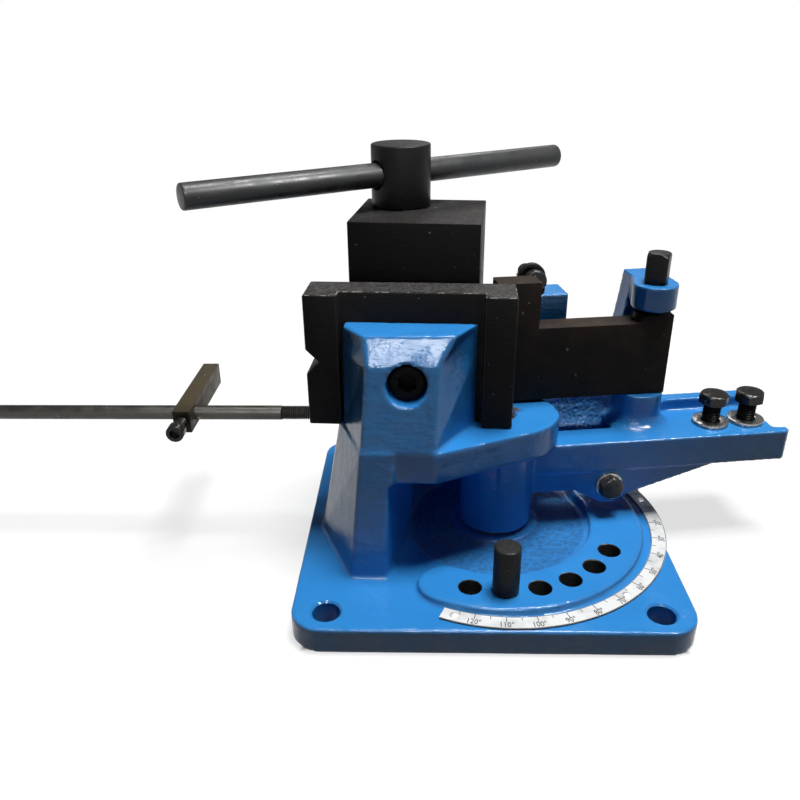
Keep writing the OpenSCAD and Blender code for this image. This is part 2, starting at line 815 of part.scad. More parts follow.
// Back wall, the lug of the adjusting bolt, and the post and ear of the hinge
module arm_back_parts() {
    wall_u = [lug_u[0], hinge_u + ear_r];
    translate([wall_u[0], back_wall_v, web_under])
        cube([wall_u[1] - wall_u[0], back_wall_t, back_wall_top - web_under]);
    translate([lug_u[0], lug_v, web_under])
        cube([lug_u[1] - lug_u[0], lug_t, lug_top - web_under]);
    translate([0, ear_post_v + ear_post_t, 0]) rotate([90, 0, 0]) linear_extrude(ear_post_t)
        polygon([
            [ear_post_foot, web_under], [hinge_u + ear_r, web_under],
            [hinge_u + ear_r, ear_top], [ear_post_head, ear_top]]);
    translate([0, 0, ear_low]) linear_extrude(ear_t) {
        translate([hinge_u, hinge_v]) circle(ear_r);
        polygon([
            [ear_post_head, ear_post_v + cut], [hinge_u + ear_r, ear_post_v + cut],
            [hinge_u + ear_r, hinge_v], [hinge_u - ear_r, hinge_v]]);
    }
    seat_head = leaf_low - face_gap;
    translate([seat_u, seat_v, web_under]) cylinder(r = seat_r, h = seat_head - web_under);
    translate([seat_u - seat_web_t / 2, seat_v, web_under])
        cube([seat_web_t, ear_post_v - seat_v + cut, seat_head - web_under]);
}

module swing_arm() {
    color(blue) on_arm() difference() {
        union() {
            translate([0, 0, boss_low]) cylinder(r = boss_r, h = boss_top - boss_low);
            arm_beam();
            arm_web();
            arm_back_parts();
        }
        translate([0, 0, boss_low - cut])
            cylinder(r = bush_r + bolt_gap, h = boss_top - boss_low + 2 * cut);
        for (k = [0, 1])
            translate([lever_bolt_u + k * lever_bolt_pitch, lever_bolt_v, web_under - cut])
                cylinder(d = lever_bolt_d + 2 * run_gap, h = flange_h + 2 * cut);
        translate([stop_bolt_u, arm_front - cut, stop_bolt_z]) rotate([-90, 0, 0])
            cylinder(d = stop_bolt_d + 2 * run_gap, h = flange_t + web_step + 2 * cut);
        translate([hinge_u, hinge_v, hinge_low])
            cylinder(d = hinge_d + 2 * bolt_gap, h = ear_top - hinge_low + cut);
    }
}

module upper_bush() {
    color(bronze) at_pivot(boss_top - bush_len) ring(bush_r, pivot_pin_d / 2 + run_gap, bush_len);
}

module lower_bush() {
    color(bronze) at_pivot(boss_low) ring(bush_r, pivot_pin_d / 2 + run_gap, bush_len);
}

// Hinge pin: a round pin with a square head that rests on the ear
module hinge_pin() {
    head_h = hinge_top - ear_top;
    color(black) on_arm() translate([hinge_u, hinge_v, 0]) {
        translate([0, 0, hinge_low]) cylinder(d = hinge_d, h = ear_top - hinge_low + cut);
        rotate(hinge_head_turn) translate([0, 0, ear_top]) intersection() {
            translate([-hinge_head / 2, -hinge_head / 2, 0]) cube([hinge_head, hinge_head, head_h]);
            chamfered_bar(hinge_corners * hinge_head, head_h, 2 * end_chamfer);
        }
    }
}

module lever_washers() {
    color(steel) on_arm()
        for (k = [0, 1])
            translate([lever_bolt_u + k * lever_bolt_pitch, lever_bolt_v, arm_top])
                ring(washer_ratio * lever_bolt_d / 2, lever_bolt_d / 2 + washer_gap, lever_washer_t);
}

module lever_bolt(k) {
    under_head = arm_top + lever_washer_t + lever_bolt_up;
    color(black) on_arm()
        translate([lever_bolt_u + k * lever_bolt_pitch, lever_bolt_v, under_head])
            rotate(lever_head_turns[k]) hex_bolt(lever_bolt_d, lever_bolt_len);
}

module lever_bolt_inner() {
    lever_bolt(0);
}

module lever_bolt_outer() {
    lever_bolt(1);
}

module stop_bolt_washer() {
    color(steel) on_arm() translate([stop_bolt_u, arm_front + web_step, stop_bolt_z]) rotate([90, 0, 0])
        ring(stop_washer_r, stop_bolt_d / 2 + washer_gap, stop_washer_t);
}

module stop_bolt() {
    color(black) on_arm()
        translate([stop_bolt_u, arm_front + web_step - stop_washer_t - face_gap, stop_bolt_z])
            rotate([90, 0, 0]) hex_bolt(stop_bolt_d, stop_bolt_len);
}

module stop_bolt_nut() {
    color(black) on_arm() translate([stop_bolt_u, arm_front + web_step + flange_t, stop_bolt_z])
        rotate([-90, 0, 0]) hex_nut(stop_bolt_d, nut_ratio * stop_bolt_d);
}

// Threaded eye of the adjusting bolt, standing on the arm's lug
module adjusting_eye() {
    color(black) on_arm() difference() {
        union() {
            translate([adjust_u, eye_v, adjust_z]) rotate([-90, 0, 0]) cylinder(r = eye_r, h = eye_t);
            translate([adjust_u - eye_r, eye_v, lug_top])
                cube([2 * eye_r, eye_t, adjust_z - lug_top]);
        }
        translate([adjust_u, eye_v - cut, adjust_z]) rotate([-90, 0, 0])
            cylinder(d = adjust_d + 2 * run_gap, h = eye_t + 2 * cut);
    }
}

// Adjusting screw: a round head that bears on the bending jaw's back
module adjusting_bolt() {
    color(black) on_arm() translate([adjust_u, adjust_head_v, adjust_z]) rotate([-90, 0, 0]) {
        cylinder(d = cap_ratio * adjust_d, h = adjust_head_h);
        cylinder(d = adjust_d, h = adjust_head_h + adjust_len);
    }
}

module adjusting_nut() {
    color(black) on_arm() translate([adjust_u, eye_v + eye_t, adjust_z]) rotate([-90, 0, 0])
        hex_nut(adjust_d, thin_nut_ratio * adjust_d);
}

// Bending jaw: a low bar with a tall post at its left end and an eye on the hinge pin
module bending_jaw() {
    color(black) on_arm() difference() {
        union() {
            translate([0, leaf_back, leaf_low]) rotate([90, 0, 0]) linear_extrude(leaf_t)
                polygon([
                    [leaf_left, 0], [leaf_right, 0], [leaf_right, leaf_end_h],
                    [leaf_ramp[1], leaf_end_h], [leaf_ramp[0], leaf_low_h],
                    [leaf_left + leaf_post_w, leaf_low_h],
                    [leaf_left + leaf_post_w, leaf_post_h], [leaf_left, leaf_post_h]]);
            intersection() {
                translate([hinge_u, hinge_v, leaf_low]) cylinder(d = leaf_eye_d, h = leaf_end_h);
                translate([leaf_left, leaf_front, leaf_low])
                    cube([leaf_right - leaf_left + leaf_eye_d, 2 * leaf_t, leaf_end_h]);
            }
        }
        translate([hinge_u, hinge_v, leaf_low - cut])
            cylinder(d = hinge_d + 2 * run_gap, h = leaf_end_h + 2 * cut);
    }
}

// The eccentric clamp

module clamp_spindle() {
    color(black) difference() {
        union() {
            translate([spindle_at.x, spindle_at.y, shelf_z - journal_len + face_gap])
                cylinder(d = journal_d, h = journal_len + cut);
            translate([lobe_at.x, lobe_at.y, lobe_low]) cylinder(d = lobe_d, h = hub_low - lobe_low);
            translate([spindle_at.x, spindle_at.y, hub_low]) cylinder(d = hub_d, h = hub_h);
        }
        translate([spindle_at.x, spindle_at.y, groove_z - groove_h / 2])
            ring(journal_d / 2 + cut, journal_d / 2 - groove_in, groove_h);
        translate([spindle_at.x, spindle_at.y, bar_z]) rotate(bar_turn) rotate([0, 90, 0])
            cylinder(d = bar_d + 2 * run_gap, h = hub_d + 2 * cut, center = true);
    }
}

module t_bar() {
    color(black) translate([spindle_at.x, spindle_at.y, bar_z]) rotate(bar_turn) rotate([0, 90, 0])
        translate([0, 0, bar_shift - bar_len / 2]) chamfered_bar(bar_d, bar_len, end_chamfer);
}

module clamp_block() {
    color(black) difference() {
        translate([block_corner.x, block_corner.y, block_low]) rotate(block_turn)
            translate([-block_w, 0, 0]) cube([block_w, block_d, block_h]);
        translate([lobe_at.x, lobe_at.y, block_low - cut])
            cylinder(d = lobe_d + 2 * run_gap, h = block_h + 2 * cut);
    }
}

// The angle stop and the length stop

module stop_pin() {
    color(black) round_pivot(stop_r, stop_pin_angle, band_top) {
        translate([0, 0, -stop_pin_shank])
            cylinder(d = stop_hole_d - 2 * run_gap, h = stop_pin_shank + cut);
        chamfered_bar(stop_head_d, stop_head_h, end_chamfer);
    }
}

module stop_rod() {
    color(black) translate([shelf_left - rod_reach, rod_y, rod_z]) rotate([0, 90, 0])
        chamfered_bar(rod_d, rod_reach + rod_in - cut, end_chamfer);
}

module stop_finger() {
    color(black) difference() {
        translate([finger_x - finger_w / 2, finger_y, rod_z - finger_h / 2])
            cube([finger_w, finger_len, finger_h]);
        translate([finger_x - finger_w, rod_y, rod_z]) rotate([0, 90, 0])
            cylinder(d = rod_d + 2 * run_gap, h = 2 * finger_w);
        translate([finger_x, finger_y - cut, rod_z]) rotate([-90, 0, 0])
            cylinder(d = lock_d + 2 * run_gap, h = finger_front + cut);
    }
}

module finger_screw() {
    reach = finger_front - rod_d / 2 - face_gap;
    color(black) translate([finger_x, finger_y - lock_bare, rod_z]) rotate([90, 0, 0])
        cap_screw(lock_d, lock_bare + reach, lock_d);
}

main_casting();
angle_scale();
scale_rivets();
fixed_jaw();
jaw_bolt();
pivot_pin();
thrust_washer();
spindle_bush();
spindle_screw();
swing_arm();
upper_bush();
lower_bush();
hinge_pin();
lever_washers();
stop_bolt_washer();
stop_bolt_nut();
adjusting_eye();
adjusting_nut();
lever_bolt_inner();
lever_bolt_outer();
stop_bolt();
adjusting_bolt();
bending_jaw();
clamp_spindle();
t_bar();
clamp_block();
stop_pin();
stop_rod();
stop_finger();
finger_screw();
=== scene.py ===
import json
import math

import bmesh
import bpy
from mathutils import Matrix, Vector
from mathutils.noise import noise as ripple


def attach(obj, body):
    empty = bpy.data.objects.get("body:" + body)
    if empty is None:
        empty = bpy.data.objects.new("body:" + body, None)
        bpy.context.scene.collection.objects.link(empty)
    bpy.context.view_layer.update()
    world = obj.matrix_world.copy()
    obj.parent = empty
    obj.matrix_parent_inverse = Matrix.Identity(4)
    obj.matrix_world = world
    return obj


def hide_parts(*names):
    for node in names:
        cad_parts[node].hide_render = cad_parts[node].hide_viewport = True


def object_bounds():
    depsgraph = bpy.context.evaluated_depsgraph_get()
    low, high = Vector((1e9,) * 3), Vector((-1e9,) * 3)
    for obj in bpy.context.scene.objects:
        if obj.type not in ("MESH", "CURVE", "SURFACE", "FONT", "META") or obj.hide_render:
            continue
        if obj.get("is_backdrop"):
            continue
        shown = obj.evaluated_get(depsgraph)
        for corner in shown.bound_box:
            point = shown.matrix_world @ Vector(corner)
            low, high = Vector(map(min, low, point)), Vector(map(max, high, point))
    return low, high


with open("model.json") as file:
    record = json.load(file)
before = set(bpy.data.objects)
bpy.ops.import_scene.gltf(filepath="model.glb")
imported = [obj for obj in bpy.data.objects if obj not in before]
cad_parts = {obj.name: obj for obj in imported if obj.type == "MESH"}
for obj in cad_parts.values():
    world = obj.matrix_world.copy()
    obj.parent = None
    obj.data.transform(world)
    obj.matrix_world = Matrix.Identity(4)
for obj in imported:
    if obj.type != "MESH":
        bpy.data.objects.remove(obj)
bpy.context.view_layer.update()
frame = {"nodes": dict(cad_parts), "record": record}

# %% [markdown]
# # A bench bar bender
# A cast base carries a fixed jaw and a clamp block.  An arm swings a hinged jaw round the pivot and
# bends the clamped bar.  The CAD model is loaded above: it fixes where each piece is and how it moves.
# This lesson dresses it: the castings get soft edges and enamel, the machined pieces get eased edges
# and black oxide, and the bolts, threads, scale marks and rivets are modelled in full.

MM = 0.001
PIVOT = Vector((8.5, -2.8, 0)) * MM
ARM_TURN = math.radians(8)
ON_ARM = Matrix.Translation(PIVOT) @ Matrix.Rotation(ARM_TURN, 4, "Z")
BASE_TOP = 17.5 * MM
TOWARDS_FRONT = Matrix.Rotation(math.pi / 2, 4, "X")

# %% [markdown]
# ## The camera
# The photo was taken from in front and above, with a slight turn and tilt.  A camera is a matrix: its
# columns are the directions to the right, up and back.  Building it from three angles is clearer than
# aiming it at a point, because the small roll of a hand-held shot stays a named number.

# %% Camera
PHOTO_WIDTH = 800
PHOTO_FOCAL = 776.4
PITCH, YAW, ROLL = (math.radians(angle) for angle in (25.18, 1.69, -0.63))
CAMERA_AT = Vector((-43.4, -466.6, 329.7)) * MM

camera_data = bpy.data.cameras.new("photo_camera")
camera_data.sensor_width = 36
camera_data.lens = camera_data.sensor_width * PHOTO_FOCAL / PHOTO_WIDTH
camera_data.clip_start = 0.01
camera = bpy.data.objects.new("photo_camera", camera_data)
bpy.context.scene.collection.objects.link(camera)
camera.matrix_world = (
    Matrix.Translation(CAMERA_AT)
    @ Matrix.Rotation(YAW, 4, "Z")
    @ Matrix.Rotation(math.pi / 2 - PITCH, 4, "X")
    @ Matrix.Rotation(ROLL, 4, "Z")
)
bpy.context.scene.camera = camera
print("Camera lens in mm:", round(camera_data.lens, 2))

# %% [markdown]
# ## Building blocks for finishes
# Every finish starts from the Principled shader.  Patterns are noise in Object coordinates, so their
# size is in metres and they stay put when a piece moves.  Three small helpers keep each finish short:
# noise of a given grain, a blend of two colours, and bumps that stack on one another.

# %% Finish helpers
def start_finish(name, color, roughness, metallic=0.0, specular=0.5):
    """A new material: its node tree, its shader and its Object coordinates."""
    material = bpy.data.materials.new(name)
    material.use_nodes = True
    material.diffuse_color = (*color, 1)
    tree = material.node_tree
    shader = tree.nodes["Principled BSDF"]
    shader.inputs["Base Color"].default_value = (*color, 1)
    shader.inputs["Roughness"].default_value = roughness
    shader.inputs["Metallic"].default_value = metallic
    shader.inputs["Specular IOR Level"].default_value = specular
    return material, tree, shader, tree.nodes.new("ShaderNodeTexCoord").outputs["Object"]


def noise(tree, coords, grain, detail=2.0, stretch=(1, 1, 1)):
    """Noise whose blotches are about grain metres across, drawn out along an axis by stretch."""
    mapping = tree.nodes.new("ShaderNodeMapping")
    mapping.inputs["Scale"].default_value = [1 / (grain * s) for s in stretch]
    texture = tree.nodes.new("ShaderNodeTexNoise")
    texture.inputs["Scale"].default_value = 1.0
    texture.inputs["Detail"].default_value = detail
    tree.links.new(coords, mapping.inputs["Vector"])
    tree.links.new(mapping.outputs["Vector"], texture.inputs["Vector"])
    return texture.outputs["Fac"]


def spread(tree, value, low, high, to_low=0.0, to_high=1.0):
    """Stretches the band low..high of a value to another band, softly, and clips the rest."""
    node = tree.nodes.new("ShaderNodeMapRange")
    node.interpolation_type = "SMOOTHSTEP"
    for socket, number in (("From Min", low), ("From Max", high), ("To Min", to_low), ("To Max", to_high)):
        node.inputs[socket].default_value = number
    tree.links.new(value, node.inputs["Value"])
    return node.outputs["Result"]


def blend(tree, factor, first, second):
    """Mixes two colours, each a plain colour or another node's output."""
    node = tree.nodes.new("ShaderNodeMix")
    node.data_type = "RGBA"
    tree.links.new(factor, node.inputs["Factor"])
    for socket, color in ((node.inputs[6], first), (node.inputs[7], second)):
        if isinstance(color, tuple):
            socket.default_value = (*color, 1)
        else:
            tree.links.new(color, socket)
    return node.outputs[2]


def combine(tree, operation, first, second):
    """A sum, product or other Math of two values, each a number or another node's output."""
    node = tree.nodes.new("ShaderNodeMath")
    node.operation = operation
    for socket, value in zip(node.inputs, (first, second)):
        if isinstance(value, (int, float)):
            socket.default_value = value
        else:
            tree.links.new(value, socket)
    return node.outputs[0]


def raise_bumps(tree, shader, heights):
    """Stacks bumps on the shader: each is a height pattern and its depth in metres."""
    normal = None
    for height, depth in heights:
        bump = tree.nodes.new("ShaderNodeBump")
        bump.inputs["Strength"].default_value = 1.0
        bump.inputs["Distance"].default_value = depth
        tree.links.new(height, bump.inputs["Height"])
        if normal is not None:
            tree.links.new(normal, bump.inputs["Normal"])
        normal = bump.outputs["Normal"]
    tree.links.new(normal, shader.inputs["Normal"])


def near(tree, coords, point, inner, outer, flat=False):
    """1 within inner metres of a point, falling to 0 at outer; flat measures across the floor only."""
    offset = tree.nodes.new("ShaderNodeVectorMath")
    offset.operation = "SUBTRACT"
    offset.inputs[1].default_value = point
    tree.links.new(coords, offset.inputs[0])
    squash = tree.nodes.new("ShaderNodeVectorMath")
    squash.operation = "MULTIPLY"
    squash.inputs[1].default_value = (1, 1, 0 if flat else 1)
    tree.links.new(offset.outputs["Vector"], squash.inputs[0])
    length = tree.nodes.new("ShaderNodeVectorMath")
    length.operation = "LENGTH"
    tree.links.new(squash.outputs["Vector"], length.inputs[0])
    return spread(tree, length.outputs["Value"], inner, outer, 1.0, 0.0)


# %% [markdown]
# ## Floor and light
# A product shot on white needs a floor that is white but still takes the object's shadow.  The floor
# glows for the eye and for reflections, less near the object, so that the lamp's share of the light, and
# with it the shadow, shows there.  To plain bounce light the floor and the room are dim, as they were in
# the photo: the tops are bright and the fronts are dark.  The wide lamp overhead does the lighting.  Two
# in front and one behind are small and only show as glints in glossy surfaces.

# %% Room
def choose(tree, factor, first, second):
    """first where the factor is 0 and second where it is 1; each is a number or a node's output."""
    node = tree.nodes.new("ShaderNodeMix")
    tree.links.new(factor, node.inputs[0])
    for socket, value in ((node.inputs[2], first), (node.inputs[3], second)):
        if isinstance(value, (int, float)):
            socket.default_value = value
        else:
            tree.links.new(value, socket)
    return node.outputs[0]


def set_world(bounce, overhead, behind):
    """White to the eye, greyer overhead and behind in reflections, and dim as plain bounce light."""
    world = bpy.data.worlds.new("white_room")
    world.use_nodes = True
    tree = world.node_tree
    background = tree.nodes["Background"]
    background.inputs["Color"].default_value = (1, 1, 1, 1)
    path = tree.nodes.new("ShaderNodeLightPath").outputs
    direction = tree.nodes.new("ShaderNodeSeparateXYZ")
    tree.links.new(tree.nodes.new("ShaderNodeTexCoord").outputs["Generated"], direction.inputs[0])
    wall = combine(
        tree, "MULTIPLY",
        spread(tree, direction.outputs["Z"], 0.05, 0.7, 1.0, overhead),
        spread(tree, direction.outputs["Y"], 0.2, 0.8, 1.0, behind))
    mirrored = combine(tree, "MAXIMUM", path["Is Glossy Ray"], path["Is Transmission Ray"])
    strength = choose(tree, path["Is Camera Ray"], choose(tree, mirrored, bounce, wall), 1.0)
    tree.links.new(strength, background.inputs["Strength"])
    bpy.context.scene.world = world


bpy.context.scene.view_settings.view_transform = "Standard"
set_world(bounce=0.015, overhead=0.35, behind=0.25)
print("World:", bpy.context.scene.world.name)

# %% Floor
FLOOR_SIZE = 12.0
FOOTPRINT = (0.111, 0.116)
SHADOW_REACH = (0.35, 1.0)
SHADOW_SHARE = 0.3
FLOOR_BOUNCE = 0.04
FLOOR_GLOW = 1.02


def make_floor():
    """A white floor that keeps a soft shadow round the object and is dark under it."""
    mesh = bpy.data.meshes.new("floor")
    half = FLOOR_SIZE / 2
    corners = [(-half, -half, 0), (half, -half, 0), (half, half, 0), (-half, half, 0)]
    mesh.from_pydata(corners, [], [(0, 1, 2, 3)])
    material, tree, shader, coords = start_finish("pale_floor", (0.86, 0.86, 0.86), 0.9, specular=0.0)
    path = tree.nodes.new("ShaderNodeLightPath").outputs
    seen = combine(tree, "MAXIMUM", path["Is Camera Ray"], path["Is Glossy Ray"])
    seen = combine(tree, "MAXIMUM", seen, path["Is Transmission Ray"])
    shadowed = near(tree, coords, (0, 0, 0), *SHADOW_REACH, flat=True)
    lit = combine(tree, "MULTIPLY", shadowed, SHADOW_SHARE)
    tree.links.new(choose(tree, seen, FLOOR_BOUNCE, lit), shader.inputs["Base Color"])
    sides = tree.nodes.new("ShaderNodeSeparateXYZ")
    tree.links.new(coords, sides.inputs[0])
    across = combine(tree, "ABSOLUTE", sides.outputs["X"], 0)
    along = combine(tree, "ABSOLUTE", sides.outputs["Y"], 0)
    outside = spread(tree, combine(tree, "MAXIMUM", across, along), *FOOTPRINT)
    own = combine(tree, "MULTIPLY", combine(tree, "SUBTRACT", FLOOR_GLOW, lit), outside)
    shader.inputs["Emission Color"].default_value = (1, 1, 1, 1)
    tree.links.new(combine(tree, "MULTIPLY", seen, own), shader.inputs["Emission Strength"])
    mesh.materials.append(material)
    floor = bpy.data.objects.new("floor", mesh)
    bpy.context.scene.collection.objects.link(floor)
    floor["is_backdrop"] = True


make_floor()
print("Floor:", FLOOR_SIZE, "m across")

# %% Lamps
def lamp(name, size, power, place, aim):
    """A square soft lamp at a place, turned to shine at another."""
    data = bpy.data.lights.new(name, "AREA")
    data.size = size
    data.energy = power
    holder = bpy.data.objects.new(name, data)
    holder.location = place
    holder.rotation_euler = (Vector(aim) - Vector(place)).to_track_quat("-Z", "Y").to_euler()
    bpy.context.scene.collection.objects.link(holder)
    return holder


BASE_MIDDLE = (0, 0, 0.05)
JAW_MIDDLE = (-0.045, -0.045, 0.16)
GLINTS = (
    ("front_glint", 0.3, 8, (-0.05, -1.0, 0.88)),
    ("edge_glint", 0.25, 40, (0.74, -0.52, 1.33)),
    ("back_glint", 0.4, 4, (0.25, 1.2, 1.15)),
)
lamp("overhead", 0.7, 64, (0.3, 0.1, 2.3), BASE_MIDDLE)
for name, size, power, place in GLINTS:
    glint = lamp(name, size, power, place, JAW_MIDDLE)
    glint.visible_diffuse = False

# %% [markdown]
# ## Blue enamel on sand castings
# The castings are dipped or sprayed with a thick blue enamel.  Under the gloss the sand-cast skin is
# wavy, and here and there it is grainy, so reflections break up.  The floor round the pivot was never
# smoothed and is duller, and its blue is darker there, partly from its grey cast skin and partly as
# painted shade under the shelf and the arm.  A rust spot has come through beside the fixed jaw.  Each of
# these is a mask, by place or by noise, that blends a colour, a roughness or a bump into the plain enamel.

# %% Blue enamel
BLUE = (0.028, 0.228, 0.590)
PALE_BLUE = (0.034, 0.250, 0.635)
# the rough floor's blue: partly its grey cast skin, partly painted shade under the shelf and the arm
SHADED_DULL_BLUE = (0.028, 0.125, 0.310)
RUST = (0.075, 0.040, 0.020)
RUST_SPOT = Vector((20.0, 2.5, 102)) * MM
SANDY_WALL = ON_ARM @ (Vector((66, 39, 85)) * MM)
ROUGH_FLOOR_RADIUS = 66 * MM
ROUGH_FLOOR_TOP = 19 * MM
GLOSS, DULL_GLOSS = 0.28, 0.06


def make_blue_enamel():
    material, tree, shader, coords = start_finish("blue_enamel", BLUE, 0.18, specular=GLOSS)
    blotches = spread(tree, noise(tree, coords, 45 * MM, 3.0), 0.35, 0.7)
    color = blend(tree, blotches, BLUE, PALE_BLUE)

    height = tree.nodes.new("ShaderNodeSeparateXYZ")
    tree.links.new(coords, height.inputs[0])
    low = spread(tree, height.outputs["Z"], ROUGH_FLOOR_TOP, ROUGH_FLOOR_TOP + 2 * MM, 1.0, 0.0)
    inside = near(tree, coords, PIVOT, ROUGH_FLOOR_RADIUS - 6 * MM, ROUGH_FLOOR_RADIUS, flat=True)
    dull_and_shaded = combine(tree, "MULTIPLY", low, inside)
    grain = spread(tree, noise(tree, coords, 3 * MM, 4.0), 0.3, 0.7, 0.35, 1.0)
    # darkens the rough floor round the pivot, partly as painted shade under the shelf and the arm
    color = blend(tree, combine(tree, "MULTIPLY", dull_and_shaded, grain), color, SHADED_DULL_BLUE)

    ragged = spread(tree, noise(tree, coords, 3 * MM, 3.0), 0.38, 0.55)
    rust = combine(tree, "MULTIPLY", near(tree, coords, RUST_SPOT, 2.5 * MM, 5.5 * MM), ragged)
    color = blend(tree, rust, color, RUST)
    tree.links.new(color, shader.inputs["Base Color"])

    wear = combine(tree, "ADD", combine(tree, "MULTIPLY", dull_and_shaded, 0.3), combine(tree, "MULTIPLY", rust, 0.5))
    sheen = spread(tree, noise(tree, coords, 14 * MM, 3.0), 0.3, 0.75, 0.11, 0.24)
    tree.links.new(combine(tree, "ADD", sheen, wear), shader.inputs["Roughness"])
    tree.links.new(spread(tree, dull_and_shaded, 0.0, 1.0, GLOSS, DULL_GLOSS), shader.inputs["Specular IOR Level"])

    patches = spread(tree, noise(tree, coords, 26 * MM, 2.0), 0.5, 0.68)
    wall = near(tree, coords, SANDY_WALL, 12 * MM, 25 * MM)
    rough = combine(tree, "MAXIMUM", patches, dull_and_shaded)
    sand = combine(tree, "MULTIPLY", rough, noise(tree, coords, 1.3 * MM, 3.0))
    grains = combine(tree, "MULTIPLY", wall, noise(tree, coords, 2.4 * MM, 1.0))
    raise_bumps(tree, shader, [
        (noise(tree, coords, 9 * MM, 2.0), 0.35 * MM),
        (noise(tree, coords, 2.2 * MM, 2.0, (2.5, 1, 1)), 0.2 * MM),
        (sand, 0.4 * MM),
        (grains, 2.2 * MM),
    ])
    return material


blue_enamel = make_blue_enamel()
print("Finish:", blue_enamel.name)

# %% [markdown]
# ## Black oxide on steel
# The jaws and the block are ground steel, blackened in a hot salt bath and oiled.  The faces keep fine
# grinding lines, brown shows where the oxide is thin, and the milled tops are greyer where work has slid
# over them.  Knocked edges show bare nicks, and on the jaws' bevels more of them sit on the edges that
# look up, partly as wear and partly as a painted glint.  The stop finger has started to rust.  Bars and
# bolts are smoother and shinier.  One recipe with a few numbers makes all of them, so they look like a
# family.

# %% Black oxide
OXIDE = (0.014, 0.0135, 0.0135)
BROWN = (0.050, 0.034, 0.025)
MILLED = (0.16, 0.158, 0.155)
# bright steel of the nicks; on the jaws' edges that look up it is partly a painted glint
NICKS_AND_GLINT = (0.32, 0.30, 0.27)
GROUND = (0.040, 0.039, 0.038)
RUSTY = (0.085, 0.060, 0.030)
GREY_STEEL = (0.045, 0.049, 0.051)
ROD_STEEL = (0.070, 0.069, 0.064)
FINGER_STEEL = (0.056, 0.048, 0.032)


def make_black_oxide(
    name, brown, roughness, metallic, specular,
    lines=(1, 1, 1), milled=0.0, wear=0.0, steel=OXIDE, thin_tint=BROWN,
):
    """brown is the share of thin oxide and thin_tint its colour, lines draws the grinding marks out
    along an axis, milled is how grey the faces that look up are, and wear adds bright nicks on the edges
    that look up, partly as wear and partly as a painted glint."""
    material, tree, shader, coords = start_finish(name, steel, roughness, metallic, specular)
    thin = spread(tree, noise(tree, coords, 24 * MM, 5.0), 0.3, 0.75, 0.25 * brown, brown)
    color = blend(tree, thin, steel, thin_tint)
    marks = noise(tree, coords, 0.9 * MM, 2.0, lines)
    color = blend(tree, spread(tree, marks, 0.45, 0.8, 0.0, 0.25), color, GROUND)
    facing = tree.nodes.new("ShaderNodeSeparateXYZ")
    tree.links.new(tree.nodes.new("ShaderNodeTexCoord").outputs["Normal"], facing.inputs[0])
    # more nicks on the edges that look up: partly wear, partly a painted glint
    knocked_and_glinting = spread(tree, facing.outputs["Z"], 0.3, 0.6, 0.0, 0.2 * wear)
    dents = combine(tree, "ADD", noise(tree, coords, 4 * MM, 6.0), knocked_and_glinting)
    color = blend(tree, spread(tree, dents, 0.69, 0.74, 0.0, 0.8), color, NICKS_AND_GLINT)
    if milled:
        top = spread(tree, facing.outputs["Z"], 0.8, 0.98, 0.0, milled)
        streaks = spread(tree, noise(tree, coords, 0.9 * MM, 5.0, (2, 1, 1)), 0.42, 0.66, 0.1, 1.0)
        color = blend(tree, combine(tree, "MULTIPLY", top, streaks), color, MILLED)
    tree.links.new(color, shader.inputs["Base Color"])
    satin = noise(tree, coords, 9 * MM, 4.0)
    tree.links.new(
        spread(tree, satin, 0.3, 0.7, roughness - 0.07, roughness + 0.08), shader.inputs["Roughness"])
    raise_bumps(tree, shader, [(marks, 0.03 * MM), (satin, 0.06 * MM)])
    return material


black_jaw = make_black_oxide("black_jaw", 0.15, 0.5, 0.0, 0.05, lines=(6, 1, 1), milled=0.6)
brown_jaw = make_black_oxide("brown_jaw", 0.85, 0.5, 0.0, 0.04, lines=(6, 1, 1))
black_block = make_black_oxide("black_block", 0.1, 0.46, 0.0, 0.04, lines=(30, 1, 1), milled=0.2)
black_hub = make_black_oxide("black_hub", 0.1, 0.4, 0.0, 0.12, milled=0.18)
grey_bar = make_black_oxide("grey_bar", 0.2, 0.4, 0.0, 0.3, steel=GREY_STEEL)
grey_rod = make_black_oxide("grey_rod", 0.2, 0.44, 1.0, 0.5, steel=ROD_STEEL)
rusty_bar = make_black_oxide("rusty_bar", 0.8, 0.42, 0.0, 0.12, steel=FINGER_STEEL, thin_tint=RUSTY)
# the jaws' bevels: nicks on the edges that look up, partly wear and partly a painted glint
worn_and_glinting_edge = make_black_oxide("worn_and_glinting_edge", 0.2, 0.42, 0.0, 0.1, wear=1.0)
black_bolt = make_black_oxide("black_bolt", 0.2, 0.24, 0.0, 0.28)
blacks = (black_jaw, brown_jaw, black_block, black_hub, grey_bar, grey_rod, rusty_bar, worn_and_glinting_edge, black_bolt)
print("Finishes:", [m.name for m in blacks])

# %% [markdown]
# ## Bare and plated metal
# The stop holes show drilled iron, whose darkness is partly painted shade inside the holes, the washers
# are zinc plated and dull, and the bushes in the pivots are bronze, oily where they turn; the thrust
# washer's oily bronze is darkened further as painted shade in its gap under the arm's boss.  All of
# them are metals, which only reflect, so colour and roughness carry the whole look.

# %% Bare metals
def make_metal(name, color, dark, roughness, grain):
    """A metal whose colour and roughness vary a little over its grain."""
    material, tree, shader, coords = start_finish(name, color, roughness, 1.0)
    cloud = spread(tree, noise(tree, coords, grain, 4.0), 0.3, 0.75)
    tree.links.new(blend(tree, cloud, color, dark), shader.inputs["Base Color"])
    tree.links.new(
        spread(tree, cloud, 0.0, 1.0, roughness - 0.06, roughness + 0.12), shader.inputs["Roughness"])
    raise_bumps(tree, shader, [(noise(tree, coords, 0.8 * MM, 2.0), 0.012 * MM)])
    return material


